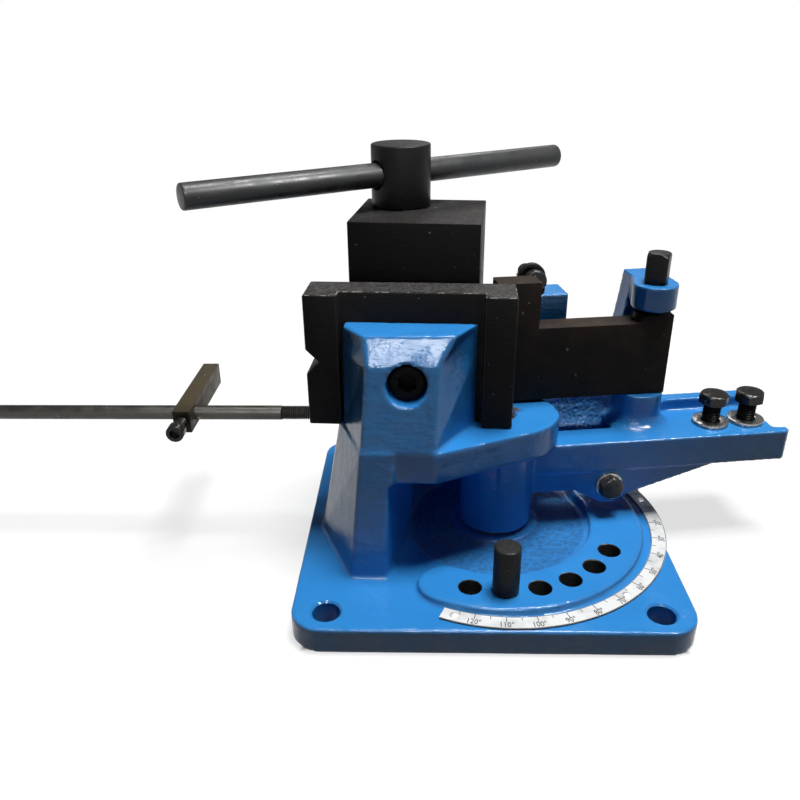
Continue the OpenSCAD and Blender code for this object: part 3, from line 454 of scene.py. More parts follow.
# iron in the stop holes: its darkness is partly painted shade inside the holes
shaded_drilled_iron = make_metal("shaded_drilled_iron", (0.05, 0.05, 0.053), (0.02, 0.02, 0.021), 0.5, 3 * MM)
zinc = make_metal("zinc_plate", (0.46, 0.45, 0.43), (0.18, 0.17, 0.155), 0.3, 4 * MM)
bronze = make_metal("bush_bronze", (0.60, 0.42, 0.20), (0.38, 0.25, 0.11), 0.35, 6 * MM)
# the thrust washer's bronze: oily, and darkened further as painted shade in its gap under the arm's boss
oily_shaded_bronze = make_metal("oily_shaded_bronze", (0.10, 0.07, 0.035), (0.04, 0.03, 0.018), 0.35, 6 * MM)
bright_tin = make_metal("bright_tin", (0.86, 0.86, 0.84), (0.60, 0.60, 0.58), 0.5, 2 * MM)
print("Finishes:", [m.name for m in (shaded_drilled_iron, zinc, bronze, oily_shaded_bronze, bright_tin)])

# %% [markdown]
# ## The scale's lacquer and ink
# The scale is a thin strip of metal with white lacquer and printed marks.  The lacquer has gone a
# little grey with handling, and the ink is a soft black that is never quite opaque; the same black on
# the strip's sides is painted shade along its edge.

# %% Scale finishes
def make_scale_finish(name, color, dirt, roughness):
    material, tree, shader, coords = start_finish(name, color, roughness)
    smear = spread(tree, noise(tree, coords, 12 * MM, 5.0), 0.42, 0.75, 0.0, 0.8)
    tree.links.new(blend(tree, smear, color, dirt), shader.inputs["Base Color"])
    raise_bumps(tree, shader, [(noise(tree, coords, 2 * MM, 2.0), 0.02 * MM)])
    return material


scale_white = make_scale_finish("scale_white", (0.80, 0.81, 0.80), (0.55, 0.55, 0.53), 0.35)
scale_ink_and_shade = make_scale_finish("scale_ink_and_shade", (0.030, 0.030, 0.032), (0.075, 0.075, 0.078), 0.5)
print("Finishes:", scale_white.name, scale_ink_and_shade.name)

# %% [markdown]
# ## From CAD node to visual piece
# A CAD node is a set of loose triangles, so a copy is merged before it is worked on.  A piece's
# modifiers are turned into a plain mesh, and the piece then stands for its CAD node: it rides on the
# same body, and the CAD node is hidden.

# %% Piece helpers
BODY_OF = {node: body for body, nodes in frame["record"]["behaviour"]["bodies"].items() for node in nodes}
MERGE = 0.002 * MM
FLAT_ANGLE = math.radians(0.2)
SHARP_ANGLE = 32


def new_piece(name, mesh):
    piece = bpy.data.objects.new(name, mesh)
    bpy.context.scene.collection.objects.link(piece)
    return piece


def cad_copy(node, name):
    """A merged copy of a CAD node, with its flat faces whole again."""
    mesh = bpy.data.meshes.new(name)
    work = bmesh.new()
    work.from_mesh(frame["nodes"][node].data)
    bmesh.ops.remove_doubles(work, verts=work.verts, dist=MERGE)
    bmesh.ops.dissolve_limit(
        work, angle_limit=FLAT_ANGLE, verts=work.verts, edges=work.edges, delimit=set())
    work.to_mesh(mesh)
    work.free()
    for extra in [a.name for a in mesh.attributes if a.name in ("custom_normal", "sharp_edge", "sharp_face")]:
        mesh.attributes.remove(mesh.attributes[extra])
    return new_piece(name, mesh)


def settle(piece):
    """Turns a piece with modifiers into a plain mesh."""
    shape = piece.evaluated_get(bpy.context.evaluated_depsgraph_get())
    mesh = bpy.data.meshes.new_from_object(shape)
    piece.modifiers.clear()
    piece.data = mesh
    return piece


def shade(piece, angle=SHARP_ANGLE):
    """Smooth shading, broken at edges sharper than an angle in degrees."""
    piece.data.shade_smooth()
    piece.data.set_sharp_from_angle(angle=math.radians(angle))


def stand_for(piece, node):
    """The piece rides on the body of a CAD node, and the node is hidden."""
    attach(piece, BODY_OF[node])
    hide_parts(node)
    print(f"{piece.name}: {len(piece.data.polygons)} faces, stands for {node}")


# %% [markdown]
# ## Turned pieces
# Bars, pins and the spindle's hub come off a lathe.  A lathe piece is a profile turned round an axis:
# each step of the profile is a distance along the axis and a radius.  Rings of many points keep the
# outline round close up, and a small step at each end is the chamfer.

# %% Lathe
RING_POINTS = 96


def turn(profile):
    """A bmesh turned round Z from (height, radius) steps, closed at both ends."""
    work = bmesh.new()
    rings = []
    for height, radius in profile:
        angles = [2 * math.pi * k / RING_POINTS for k in range(RING_POINTS)]
        rings.append([work.verts.new((radius * math.cos(a), radius * math.sin(a), height)) for a in angles])
    for low, high in zip(rings, rings[1:]):
        for k in range(RING_POINTS):
            j = (k + 1) % RING_POINTS
            work.faces.new((low[k], low[j], high[j], high[k]))
    work.faces.new(reversed(rings[0]))
    work.faces.new(rings[-1])
    return work


def rounded_bar(radius, start, end, ease):
    """Profile of a bar with both ends rounded by ease."""
    steps = [(math.sin(math.radians(a)), 1 - math.cos(math.radians(a))) for a in (0, 30, 60, 90)]
    head = [(end - ease + ease * s, radius - ease * c) for s, c in steps]
    foot = [(start + ease - ease * s, radius - ease * c) for s, c in reversed(steps)]
    return foot + head


def finished(name, work, place, finish):
    """A new piece from a bmesh in its own axes, moved to its place."""
    mesh = bpy.data.meshes.new(name)
    work.to_mesh(mesh)
    work.free()
    mesh.transform(place)
    mesh.materials.append(finish)
    piece = new_piece(name, mesh)
    shade(piece)
    return piece


# %% Cutting
def cut(piece, work, place, finish=None):
    """Cuts a bmesh shape, moved to its place, out of a piece, and gives the cut faces their finish."""
    mesh = bpy.data.meshes.new("cutter")
    work.to_mesh(mesh)
    work.free()
    mesh.transform(place)
    if finish:
        piece.data.materials.append(finish)
        for material in piece.data.materials:
            mesh.materials.append(material)
        mesh.polygons.foreach_set("material_index", [len(mesh.materials) - 1] * len(mesh.polygons))
    cutter = new_piece("cutter", mesh)
    boolean = piece.modifiers.new("cut", "BOOLEAN")
    boolean.operation = "DIFFERENCE"
    boolean.object = cutter
    settle(piece)
    bpy.data.objects.remove(cutter)


def add_moved(work, part, place):
    """Adds a bmesh, moved to its place, to another."""
    mesh = bpy.data.meshes.new("part")
    part.to_mesh(mesh)
    part.free()
    mesh.transform(place)
    work.from_mesh(mesh)


def add_turned(work, profile, place=Matrix()):
    """Adds a turned piece, moved to its place, to a bmesh."""
    add_moved(work, turn(profile), place)


def add_prism(work, outline, depth, place):
    """Adds an outline, given anticlockwise and pulled up along Z, to a bmesh."""
    part = bmesh.new()
    low = [part.verts.new((x, y, 0)) for x, y in outline]
    high = [part.verts.new((x, y, depth)) for x, y in outline]
    for k in range(len(outline)):
        j = (k + 1) % len(outline)
        part.faces.new((low[k], low[j], high[j], high[k]))
    part.faces.new(reversed(low))
    part.faces.new(high)
    add_moved(work, part, place)


# %% [markdown]
# ## The castings
# A sand casting has no sharp edge: the pattern is rounded so that it leaves the sand, and the paint
# rounds it further.  Bevels fail where many faces meet, as at the column's foot.  A fine voxel remesh
# followed by smoothing rounds every edge and fills every corner alike, which is what the process does.
# A gentle ripple, always inwards, makes the skin as uneven as sand leaves it.  The holes are drilled
# after casting, so they are filled first and cut last, and their rims stay crisp.

# %% Castings
RIPPLE_DEPTH = 0.3 * MM
RIPPLE_LENGTH = 15 * MM
STOP_RADIUS = 83 * MM
STOP_ANGLES = [math.radians(-105 + 15 * k) for k in range(6)]
STOP_PLACES = [PIVOT + STOP_RADIUS * Vector((math.cos(a), math.sin(a), 0)) for a in STOP_ANGLES]
BOLT_PLACES = [Vector((x, y, 0)) * MM for x in (-100, 100) for y in (-100, 100)]
STOP_PLUG = [(1 * MM, 7.3 * MM), (22.5 * MM, 7.3 * MM)]
BOLT_PLUG = [(1 * MM, 10.4 * MM), (17.5 * MM, 10.4 * MM)]
STOP_DRILL = [(-1 * MM, 7 * MM), (21.9 * MM, 7 * MM), (23.5 * MM, 8.6 * MM)]
BOLT_DRILL = [(-1 * MM, 8.5 * MM), (16 * MM, 8.5 * MM), (19 * MM, 11.5 * MM)]
LYING = Matrix(((0, 0, 1, 0), (1, 0, 0, 0), (0, 1, 0, 0), (0, 0, 0, 1)))
SEAT_AT = Vector((105.5, 23, 0)) * MM
SEAT_FLARE = ((79, 23.5), (80.4, 22), (81.2, 20.3), (82.6, 18.5), (84.6, 17.1), (87, 16.3), (90, 15.6))
SEAT_FOOT = [(z * MM, r * MM) for z, r in SEAT_FLARE]
POCKET_FROM, POCKET_LONG = Vector((44, 0, 0)) * MM, 52 * MM
SLOPE = ((28.5, 68.5), (40, 68.5), (40, 89), (37, 86), (35.5, 81.5), (32.5, 77), (28.5, 74))
POCKET_SLOPE = [(v * MM, z * MM) for v, z in SLOPE]
POCKET_FLOOR, POCKET_DEEP = Vector((0, 0, 73)) * MM, 24 * MM
CORNER = ((82, 40), (86, 37), (91, 34.5), (95, 30), (97, 24), (101, 24), (101, 40))
POCKET_CORNER = [(u * MM, v * MM) for u, v in CORNER]


def soft_casting(node, name, voxel, rounds, keep, filled=None):
    """Remeshes a casting on a grid of voxels, smooths it, thins the flat faces and ripples the skin."""
    piece = cad_copy(node, name)
    if filled:
        filled.from_mesh(piece.data)
        filled.to_mesh(piece.data)
        filled.free()
    grid = piece.modifiers.new("sand grid", "REMESH")
    grid.mode = "VOXEL"
    grid.voxel_size = voxel
    fettle = piece.modifiers.new("fettled edges", "SMOOTH")
    fettle.factor = 0.5
    fettle.iterations = rounds
    thin = piece.modifiers.new("thin flats", "DECIMATE")
    thin.ratio = keep
    settle(piece)
    outwards = [vertex.normal.copy() for vertex in piece.data.vertices]
    for vertex, normal in zip(piece.data.vertices, outwards):
        vertex.co -= normal * RIPPLE_DEPTH * (0.5 + 0.5 * ripple(vertex.co / RIPPLE_LENGTH))
    piece.data.materials.clear()
    piece.data.materials.append(blue_enamel)
    return piece


plugs, painted, drilled = bmesh.new(), bmesh.new(), bmesh.new()
for places, plug, drill, holes in (
    (STOP_PLACES, STOP_PLUG, STOP_DRILL, drilled), (BOLT_PLACES, BOLT_PLUG, BOLT_DRILL, painted)
):
    for place in places:
        add_turned(plugs, plug, Matrix.Translation(place))
        add_turned(holes, drill, Matrix.Translation(place))
base = soft_casting("main_casting", "base_casting", 1.2 * MM, 8, 0.32, plugs)
cut(base, painted, Matrix())
# the stop holes' walls take the iron that is darkened as painted shade
cut(base, drilled, Matrix(), shaded_drilled_iron)
shade(base, 40)
stand_for(base, "main_casting")

fillets = bmesh.new()
add_turned(fillets, SEAT_FOOT, ON_ARM @ Matrix.Translation(SEAT_AT))
add_prism(fillets, POCKET_SLOPE, POCKET_LONG, ON_ARM @ Matrix.Translation(POCKET_FROM) @ LYING)
add_prism(fillets, POCKET_CORNER, POCKET_DEEP, ON_ARM @ Matrix.Translation(POCKET_FLOOR))
arm = soft_casting("swing_arm", "arm_casting", 0.9 * MM, 9, 0.4, fillets)
arm.data.shade_smooth()
stand_for(arm, "swing_arm")

# %% [markdown]
# ## Jaws, block and finger
# These are machined from bar, with edges just broken by a file.  A narrow bevel does that, and giving
# the bevel its own material lets bare steel show along the edges where tools have knocked them; on the
# jaws the bright nicks on the edges that look up are partly a painted glint.

# %% Machined blocks
def eased(node, name, width, finish, edge_finish=None, angle=35):
    """A copy of a machined piece with broken edges."""
    piece = cad_copy(node, name)
    piece.data.materials.append(finish)
    piece.data.materials.append(edge_finish or finish)
    bevel = piece.modifiers.new("broken edges", "BEVEL")
    bevel.width = width
    bevel.segments = 2
    bevel.limit_method = "ANGLE"
    bevel.angle_limit = math.radians(angle)
    bevel.material = 1
    settle(piece)
    shade(piece)
    stand_for(piece, node)
    return piece


eased("fixed_jaw", "fixed_jaw_steel", 0.9 * MM, black_jaw, worn_and_glinting_edge)
eased("bending_jaw", "bending_jaw_steel", 0.7 * MM, brown_jaw, worn_and_glinting_edge)
eased("clamp_block", "clamp_block_steel", 0.8 * MM, black_block)
eased("stop_finger", "stop_finger_steel", 1.4 * MM, rusty_bar)
eased("adjusting_eye", "adjusting_eye_steel", 0.6 * MM, black_hub)
eased("hinge_pin", "hinge_pin_steel", 0.9 * MM, black_hub, black_bolt)
eased("stop_bolt_nut", "stop_nut_steel", 0.4 * MM, black_bolt)
eased("adjusting_nut", "adjusting_nut_steel", 0.4 * MM, black_bolt)
eased("lever_washers", "lever_washer_rings", 0.3 * MM, zinc)
eased("stop_bolt_washer", "stop_washer_ring", 0.25 * MM, zinc)

# %% [markdown]
# ## T-bar and stop pin
# The T-bar slides through the spindle's hub and turns it.  The stop pin drops into one of the drilled
# holes and limits the arm's swing.  Both are lathe work with rounded ends.

# %% T-bar and stop pin
SPINDLE = Vector((-56.894, 70.097, 0)) * MM
BAR_TURN = math.radians(33.5)
BAR_HEIGHT = 246.1 * MM
BAR_LENGTH = 288 * MM
BAR_SHIFT = -7 * MM
ALONG_BAR = (
    Matrix.Translation(SPINDLE + Vector((0, 0, BAR_HEIGHT)))
    @ Matrix.Rotation(BAR_TURN, 4, "Z")
    @ Matrix.Rotation(math.pi / 2, 4, "Y")
)
bar = rounded_bar(8 * MM, BAR_SHIFT - BAR_LENGTH / 2, BAR_SHIFT + BAR_LENGTH / 2, 1.2 * MM)
stand_for(finished("t_bar_steel", turn(bar), ALONG_BAR, grey_bar), "t_bar")

STOP_PIN_AT = Matrix.Translation(PIVOT + Vector((0, -83, 22.5)) * MM)
pin = [(-20.5 * MM, 6.95 * MM), (0.0, 6.95 * MM)] + rounded_bar(8.25 * MM, 0.0, 32.5 * MM, 1.2 * MM)
stand_for(finished("stop_pin_steel", turn(pin), STOP_PIN_AT, black_hub), "stop_pin")

# %% [markdown]
# ## The spindle
# The hub is cross-drilled for the T-bar, and the hole's mouth is chamfered, so a dark ring shows round
# the bar.  A boolean cut is right here: one clean hole through one clean solid.

# %% Spindle
HUB_LOW, HUB_HIGH, HUB_RADIUS = 224.6 * MM, 265.1 * MM, 20 * MM
LOBE = Vector((-54.323, 67.032, 0)) * MM
HUB_MOUTH = [(h * MM, r * MM) for h, r in ((-21, 10.6), (-17.5, 8.2), (17.5, 8.2), (21, 10.6))]
SHAFT_EASE = 0.5 * MM

hub = rounded_bar(HUB_RADIUS, HUB_LOW, HUB_HIGH, 1.2 * MM)
spindle = finished("spindle_hub", turn(hub), Matrix.Translation(SPINDLE), black_hub)
cut(spindle, turn(HUB_MOUTH), ALONG_BAR)
shade(spindle)
stand_for(spindle, "clamp_spindle")
for name, low, high, radius, place in (
    ("spindle_journal", 42.3 * MM, 103 * MM, 12 * MM, SPINDLE),
    ("spindle_lobe", 102.2 * MM, HUB_LOW, 16 * MM, LOBE),
):
    profile = rounded_bar(radius, low, high, SHAFT_EASE)
    shaft = finished(name, turn(profile), Matrix.Translation(place), black_hub)
    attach(shaft, "clamp_spindle")
print("Spindle hub:", len(spindle.data.polygons), "faces")

# %% [markdown]
# ## Threads
# A rolled thread is a ridge that winds round a core.  Geometry Nodes build it from a rule: a spiral
# curve, a small diamond swept along it, and named inputs for the size.  One tree serves every bolt and
# the threaded end of the stop rod.

# %% Thread tree
def new_tree(name, inputs, points=False):
    """A Geometry Nodes tree with named inputs, and its input and output nodes."""
    tree = bpy.data.node_groups.new(name, "GeometryNodeTree")
    tree.interface.new_socket("Geometry", in_out="OUTPUT", socket_type="NodeSocketGeometry")
    if points:
        tree.interface.new_socket("Points", in_out="INPUT", socket_type="NodeSocketGeometry")
    for label, kind in inputs:
        tree.interface.new_socket(label, in_out="INPUT", socket_type="NodeSocket" + kind)
    return tree, tree.nodes.new("NodeGroupInput"), tree.nodes.new("NodeGroupOutput")


def end_tree(tree, geometry, given, output):
    """Realizes the instances, sets the finish and connects the output."""
    real = tree.nodes.new("GeometryNodeRealizeInstances")
    paint = tree.nodes.new("GeometryNodeSetMaterial")
    tree.links.new(geometry, real.inputs["Geometry"])
    tree.links.new(real.outputs["Geometry"], paint.inputs["Geometry"])
    tree.links.new(given.outputs["Finish"], paint.inputs["Material"])
    tree.links.new(paint.outputs["Geometry"], output.inputs["Geometry"])


def run_tree(tree, name, values, points=()):
    """Runs a tree with named values on a mesh of points, and returns the plain mesh that it makes."""
    mesh = bpy.data.meshes.new(name)
    mesh.from_pydata(list(points), [], [])
    holder = new_piece(name, mesh)
    modifier = holder.modifiers.new(tree.name, "NODES")
    modifier.node_group = tree
    for item in tree.interface.items_tree:
        if item.in_out == "INPUT" and item.name in values:
            modifier[item.identifier] = values[item.name]
    settle(holder)
    made = holder.data
    bpy.data.objects.remove(holder)
    return made


def make_thread_tree():
    tree, given, output = new_tree(
        "rolled_thread",
        [("Radius", "Float"), ("Length", "Float"), ("Pitch", "Float"), ("Ridge", "Float"),
         ("Finish", "Material")])
    turns = tree.nodes.new("ShaderNodeMath")
    turns.operation = "DIVIDE"
    spiral = tree.nodes.new("GeometryNodeCurveSpiral")
    spiral.inputs["Resolution"].default_value = 28
    level = tree.nodes.new("GeometryNodeSetCurveNormal")
    level.mode = "Z_UP"
    ridge = tree.nodes.new("GeometryNodeCurvePrimitiveCircle")
    ridge.inputs["Resolution"].default_value = 4
    sweep = tree.nodes.new("GeometryNodeCurveToMesh")
    sweep.inputs["Fill Caps"].default_value = True
    tree.links.new(given.outputs["Length"], turns.inputs[0])
    tree.links.new(given.outputs["Pitch"], turns.inputs[1])
    tree.links.new(turns.outputs[0], spiral.inputs["Rotations"])
    tree.links.new(given.outputs["Radius"], spiral.inputs["Start Radius"])
    tree.links.new(given.outputs["Radius"], spiral.inputs["End Radius"])
    tree.links.new(given.outputs["Length"], spiral.inputs["Height"])
    tree.links.new(spiral.outputs["Curve"], level.inputs["Curve"])
    tree.links.new(given.outputs["Ridge"], ridge.inputs["Radius"])
    tree.links.new(level.outputs["Curve"], sweep.inputs["Curve"])
    tree.links.new(ridge.outputs["Curve"], sweep.inputs["Profile Curve"])
    end_tree(tree, sweep.outputs["Mesh"], given, output)
    return tree


RIDGE_SHARE = 0.36
thread_tree = make_thread_tree()


def add_thread(work, diameter, pitch, low, high):
    """Winds a thread of an outer diameter onto a bmesh, between two heights on Z."""
    ridge = RIDGE_SHARE * pitch
    mesh = run_tree(thread_tree, "thread", {
        "Radius": diameter / 2 - ridge, "Length": high - low, "Pitch": pitch, "Ridge": ridge,
        "Finish": black_block})
    mesh.transform(Matrix.Translation((0, 0, low)))
    work.from_mesh(mesh)
    print(f"thread {diameter / MM:.0f} mm: {len(mesh.polygons)} faces")


# %% [markdown]
# ## Hex bolts
# A forged bolt head is a hexagon whose top corners are turned off by a cone.  Crossing a hexagonal
# prism with a turned cone gives the curved facets that catch the light.  Below it come the shank's
# core and the thread.

# %% Hex bolts
HEAD_CORNERS, HEAD_HEIGHT = 1.73, 0.62
CORE_DEPTH = 0.6


def hex_head(corners, height):
    """A hexagonal head on the XY plane, with its top corners turned off."""
    prism = bmesh.new()
    bmesh.ops.create_cone(
        prism, cap_ends=True, segments=6, radius1=corners / 2, radius2=corners / 2, depth=height,
        matrix=Matrix.Translation((0, 0, height / 2)))
    mesh = bpy.data.meshes.new("head")
    prism.to_mesh(mesh)
    prism.free()
    head = new_piece("head", mesh)
    flats = corners / 2 * math.cos(math.radians(30))
    profile = [
        (-MM, 0.98 * flats), (0, 0.98 * flats), (0.12 * height, corners / 2), (0.72 * height, corners / 2),
        (height - 0.2 * MM, 0.96 * flats), (height, 0.9 * flats)]
    mesh = bpy.data.meshes.new("crown")
    cone = turn(profile)
    cone.to_mesh(mesh)
    cone.free()
    crown = new_piece("crown", mesh)
    boolean = head.modifiers.new("turned corners", "BOOLEAN")
    boolean.operation = "INTERSECT"
    boolean.object = crown
    settle(head)
    work = bmesh.new()
    work.from_mesh(head.data)
    bpy.data.objects.remove(head)
    bpy.data.objects.remove(crown)
    return work


def hex_bolt(node, name, diameter, pitch, length, place):
    """A hex bolt in its own axes: a bright black head above the XY plane, a matt thread below."""
    work = hex_head(HEAD_CORNERS * diameter, HEAD_HEIGHT * diameter)
    head_faces = len(work.faces)
    core = diameter / 2 - CORE_DEPTH * pitch
    add_turned(work, rounded_bar(core, -length, 0.1 * MM, 0.3 * MM))
    add_thread(work, diameter, pitch, -length + 0.4 * pitch, -0.4 * pitch)
    for face in list(work.faces)[head_faces:]:
        face.material_index = 1
    bolt = finished(name, work, place, black_bolt)
    bolt.data.materials.append(black_block)
    stand_for(bolt, node)


LEVER_BOLTS = (
    ("lever_bolt_inner", "inner_lever_bolt", Vector((155, 9.5, 95.5)) * MM, math.radians(20)),
    ("lever_bolt_outer", "outer_lever_bolt", Vector((181, 9.5, 95.5)) * MM, math.radians(30)),
)
STOP_BOLT_AT = Vector((78.5, -9.3, 45.5)) * MM
for node, name, under_head, head_turn in LEVER_BOLTS:
    place = ON_ARM @ Matrix.Translation(under_head) @ Matrix.Rotation(head_turn, 4, "Z")
    hex_bolt(node, name, 12 * MM, 1.75 * MM, 32.5 * MM, place)
hex_bolt(
    "stop_bolt", "stop_bolt_steel", 10 * MM, 1.5 * MM, 30 * MM,
    ON_ARM @ Matrix.Translation(STOP_BOLT_AT) @ TOWARDS_FRONT)

# %% Adjusting screw
adjuster = turn(rounded_bar(7.5 * MM, 0, 6.2 * MM, 1.2 * MM))
add_turned(adjuster, rounded_bar(4.1 * MM, -25.2 * MM, 0.1 * MM, 0.3 * MM))
add_thread(adjuster, 10 * MM, 1.5 * MM, -24.6 * MM, -0.6 * MM)
ADJUSTER_AT = Vector((29, 37.8, 181)) * MM
adjuster_at = ON_ARM @ Matrix.Translation(ADJUSTER_AT) @ TOWARDS_FRONT
stand_for(finished("adjusting_screw", adjuster, adjuster_at, black_bolt), "adjusting_bolt")

# %% [markdown]
# ## The length stop
# A long rod screws into the casting's side and carries a finger that the bar's end meets.  Its last
# stretch before the casting is threaded.  The finger is held by a cap screw, whose hexagonal socket
# faces the operator.

# %% Stop rod and cap screws
ROD_AT = Vector((0, 20, 91)) * MM
ALONG_X = Matrix.Rotation(math.pi / 2, 4, "Y")
ROD_THREAD_FROM, ROD_THREAD_TO = -140 * MM, -79.5 * MM
CAP_HEAD, CAP_SOCKET = 0.75, 0.46
FINGER_SCREW_AT = Vector((-207, -5.5, 91)) * MM
JAW_BOLT_AT, JAW_BOLT_HEAD = Vector((-50, -13.8, 142)) * MM, Vector((0, -17, 0)) * MM
JAW_TURN = math.radians(-3)
rod = turn(rounded_bar(5 * MM, -350 * MM, ROD_THREAD_FROM, 1 * MM))
add_turned(rod, rounded_bar(4.1 * MM, ROD_THREAD_FROM - MM, -79 * MM, 0.4 * MM))
add_thread(rod, 10 * MM, 1.5 * MM, ROD_THREAD_FROM, ROD_THREAD_TO)
stand_for(finished("stop_rod_steel", rod, Matrix.Translation(ROD_AT) @ ALONG_X, grey_rod), "stop_rod")


def cap_screw(node, name, diameter, length, head_height, place, finish):
    """A cap screw in its own axes: a turned head with a hexagonal socket, and a shank below."""
    profile = rounded_bar(CAP_HEAD * diameter, 0, head_height, 0.8 * MM)
    head = finished("head", turn(profile), Matrix(), finish)
    socket = bmesh.new()
    socket_radius = CAP_SOCKET * diameter
    bmesh.ops.create_cone(
        socket, cap_ends=True, segments=6, radius1=socket_radius, radius2=socket_radius, depth=head_height,
        matrix=Matrix.Translation((0, 0, head_height)))
    cut(head, socket, Matrix())
    work = bmesh.new()
    work.from_mesh(head.data)
    bpy.data.objects.remove(head)
    add_turned(work, rounded_bar(diameter / 2 - 0.5 * MM, -length, 0.1 * MM, 0.3 * MM))
    add_thread(work, diameter, 1.25 * MM, -length + 0.5 * MM, -0.5 * MM)
    stand_for(finished(name, work, place, finish), node)


cap_screw(
    "finger_screw", "finger_lock_screw", 8 * MM, 20.2 * MM, 8 * MM,
    Matrix.Translation(FINGER_SCREW_AT) @ TOWARDS_FRONT, black_bolt)
ON_JAW = Matrix.Translation(JAW_BOLT_AT) @ Matrix.Rotation(JAW_TURN, 4, "Z")
cap_screw(
    "jaw_bolt", "jaw_cap_screw", 14 * MM, 35 * MM, 14 * MM,
    ON_JAW @ Matrix.Translation(JAW_BOLT_HEAD) @ TOWARDS_FRONT, black_block)

# %% [markdown]
# ## The angle scale
# The strip is printed with a mark every five degrees, a longer one every ten, and numbers.  The marks
# repeat round the pivot, so Geometry Nodes place them: points at the pivot, one bar on each, turned by
# its number.  Each number is text turned into a mesh, with its foot towards the outside.

# %% Scale marks
SCALE_TOP = BASE_TOP + 1 * MM
SCALE_INNER, SCALE_OUTER = 104 * MM, 114 * MM
SCALE_FROM, SCALE_TO = math.radians(-113), math.radians(21)
SCALE_MIDDLE = PIVOT + Vector((3.5, 1.5, 0)) * MM
ZERO_AT = math.radians(17.4)
INK_HEIGHT = 0.06 * MM
MARKS = ((0, 10, 13, 3.9, 0.5), (5, 10, 13, 2.5, 0.42))


def make_marks_tree():
    tree, given, output = new_tree(
        "scale_marks",
        [("Count", "Int"), ("Start", "Float"), ("Step", "Float"), ("Middle", "Vector"), ("Reach", "Float"),
         ("Size", "Vector"), ("Finish", "Material")])
    line = tree.nodes.new("GeometryNodeMeshLine")
    line.inputs["Offset"].default_value = (0, 0, 0)
    bar_node = tree.nodes.new("GeometryNodeMeshCube")
    shift = tree.nodes.new("GeometryNodeTransform")
    reach = tree.nodes.new("ShaderNodeCombineXYZ")
    number = tree.nodes.new("GeometryNodeInputIndex")
    angle = tree.nodes.new("ShaderNodeMath")
    angle.operation = "MULTIPLY_ADD"
    axes = tree.nodes.new("ShaderNodeCombineXYZ")
    rotation = tree.nodes.new("FunctionNodeEulerToRotation")
    place = tree.nodes.new("GeometryNodeInstanceOnPoints")
    tree.links.new(given.outputs["Count"], line.inputs["Count"])
    tree.links.new(given.outputs["Middle"], line.inputs["Start Location"])
    tree.links.new(given.outputs["Size"], bar_node.inputs["Size"])
    tree.links.new(given.outputs["Reach"], reach.inputs["X"])
    tree.links.new(bar_node.outputs["Mesh"], shift.inputs["Geometry"])
    tree.links.new(reach.outputs["Vector"], shift.inputs["Translation"])
    tree.links.new(number.outputs["Index"], angle.inputs[0])
    tree.links.new(given.outputs["Step"], angle.inputs[1])
    tree.links.new(given.outputs["Start"], angle.inputs[2])
    tree.links.new(angle.outputs[0], axes.inputs["Z"])
    tree.links.new(axes.outputs["Vector"], rotation.inputs["Euler"])
    tree.links.new(line.outputs["Mesh"], place.inputs["Points"])
    tree.links.new(shift.outputs["Geometry"], place.inputs["Instance"])
    tree.links.new(rotation.outputs["Rotation"], place.inputs["Rotation"])
    end_tree(tree, place.outputs["Instances"], given, output)
    return tree


def mark_angle(degrees):
    """Where a value of the scale stands, as an angle round its middle."""
    return ZERO_AT - math.radians(degrees)


def on_scale(radius, angle):
    """A point on the strip's top, at a radius and an angle round its middle."""
    return SCALE_MIDDLE + Vector((radius * math.cos(angle), radius * math.sin(angle), SCALE_TOP))


marks_tree = make_marks_tree()
marks = bmesh.new()
for first, step, count, length, width in MARKS:
    mesh = run_tree(marks_tree, "marks", {
        "Count": count, "Start": mark_angle(first), "Step": -math.radians(step),
        "Middle": SCALE_MIDDLE + Vector((0, 0, SCALE_TOP)), "Reach": SCALE_INNER + (0.6 + length / 2) * MM,
        "Size": Vector((length, width, 0.12)) * MM, "Finish": scale_ink_and_shade})
    marks.from_mesh(mesh)
    print(f"{count} marks, every {step} degrees from {first}")

# %% Scale numbers
NUMBER_HEIGHT = 4.4 * MM
NUMBER_RADIUS = 112.7 * MM
NUMBER_SLIM = 0.8
NUMBER_BOLD = 0.05 * MM
FONT_SIZE = 1.35 * NUMBER_HEIGHT


def number_mesh(words):
    """Flat text on the XY plane as a mesh, centred on X."""
    text = bpy.data.curves.new("number", "FONT")
    text.body = words
    text.size = FONT_SIZE
    text.align_x = "CENTER"
    text.extrude = INK_HEIGHT
    text.offset = NUMBER_BOLD
    text.resolution_u = 3
    holder = bpy.data.objects.new("number", text)
    bpy.context.scene.collection.objects.link(holder)
    mesh = bpy.data.meshes.new_from_object(holder.evaluated_get(bpy.context.evaluated_depsgraph_get()))
    bpy.data.objects.remove(holder)
    mesh.transform(Matrix.Scale(NUMBER_SLIM, 4, (1, 0, 0)))
    return mesh


for value in range(0, 130, 10):
    mesh = number_mesh(f"{value}°")
    angle = mark_angle(value)
    foot = on_scale(NUMBER_RADIUS, angle)
    mesh.transform(Matrix.Translation(foot) @ Matrix.Rotation(angle + math.pi / 2, 4, "Z"))
    marks.from_mesh(mesh)


STRIP_STEPS = 160
LINE_RADII = ((104.1, 104.45), (113.5, 113.9))
LINE_INSET = 0.002


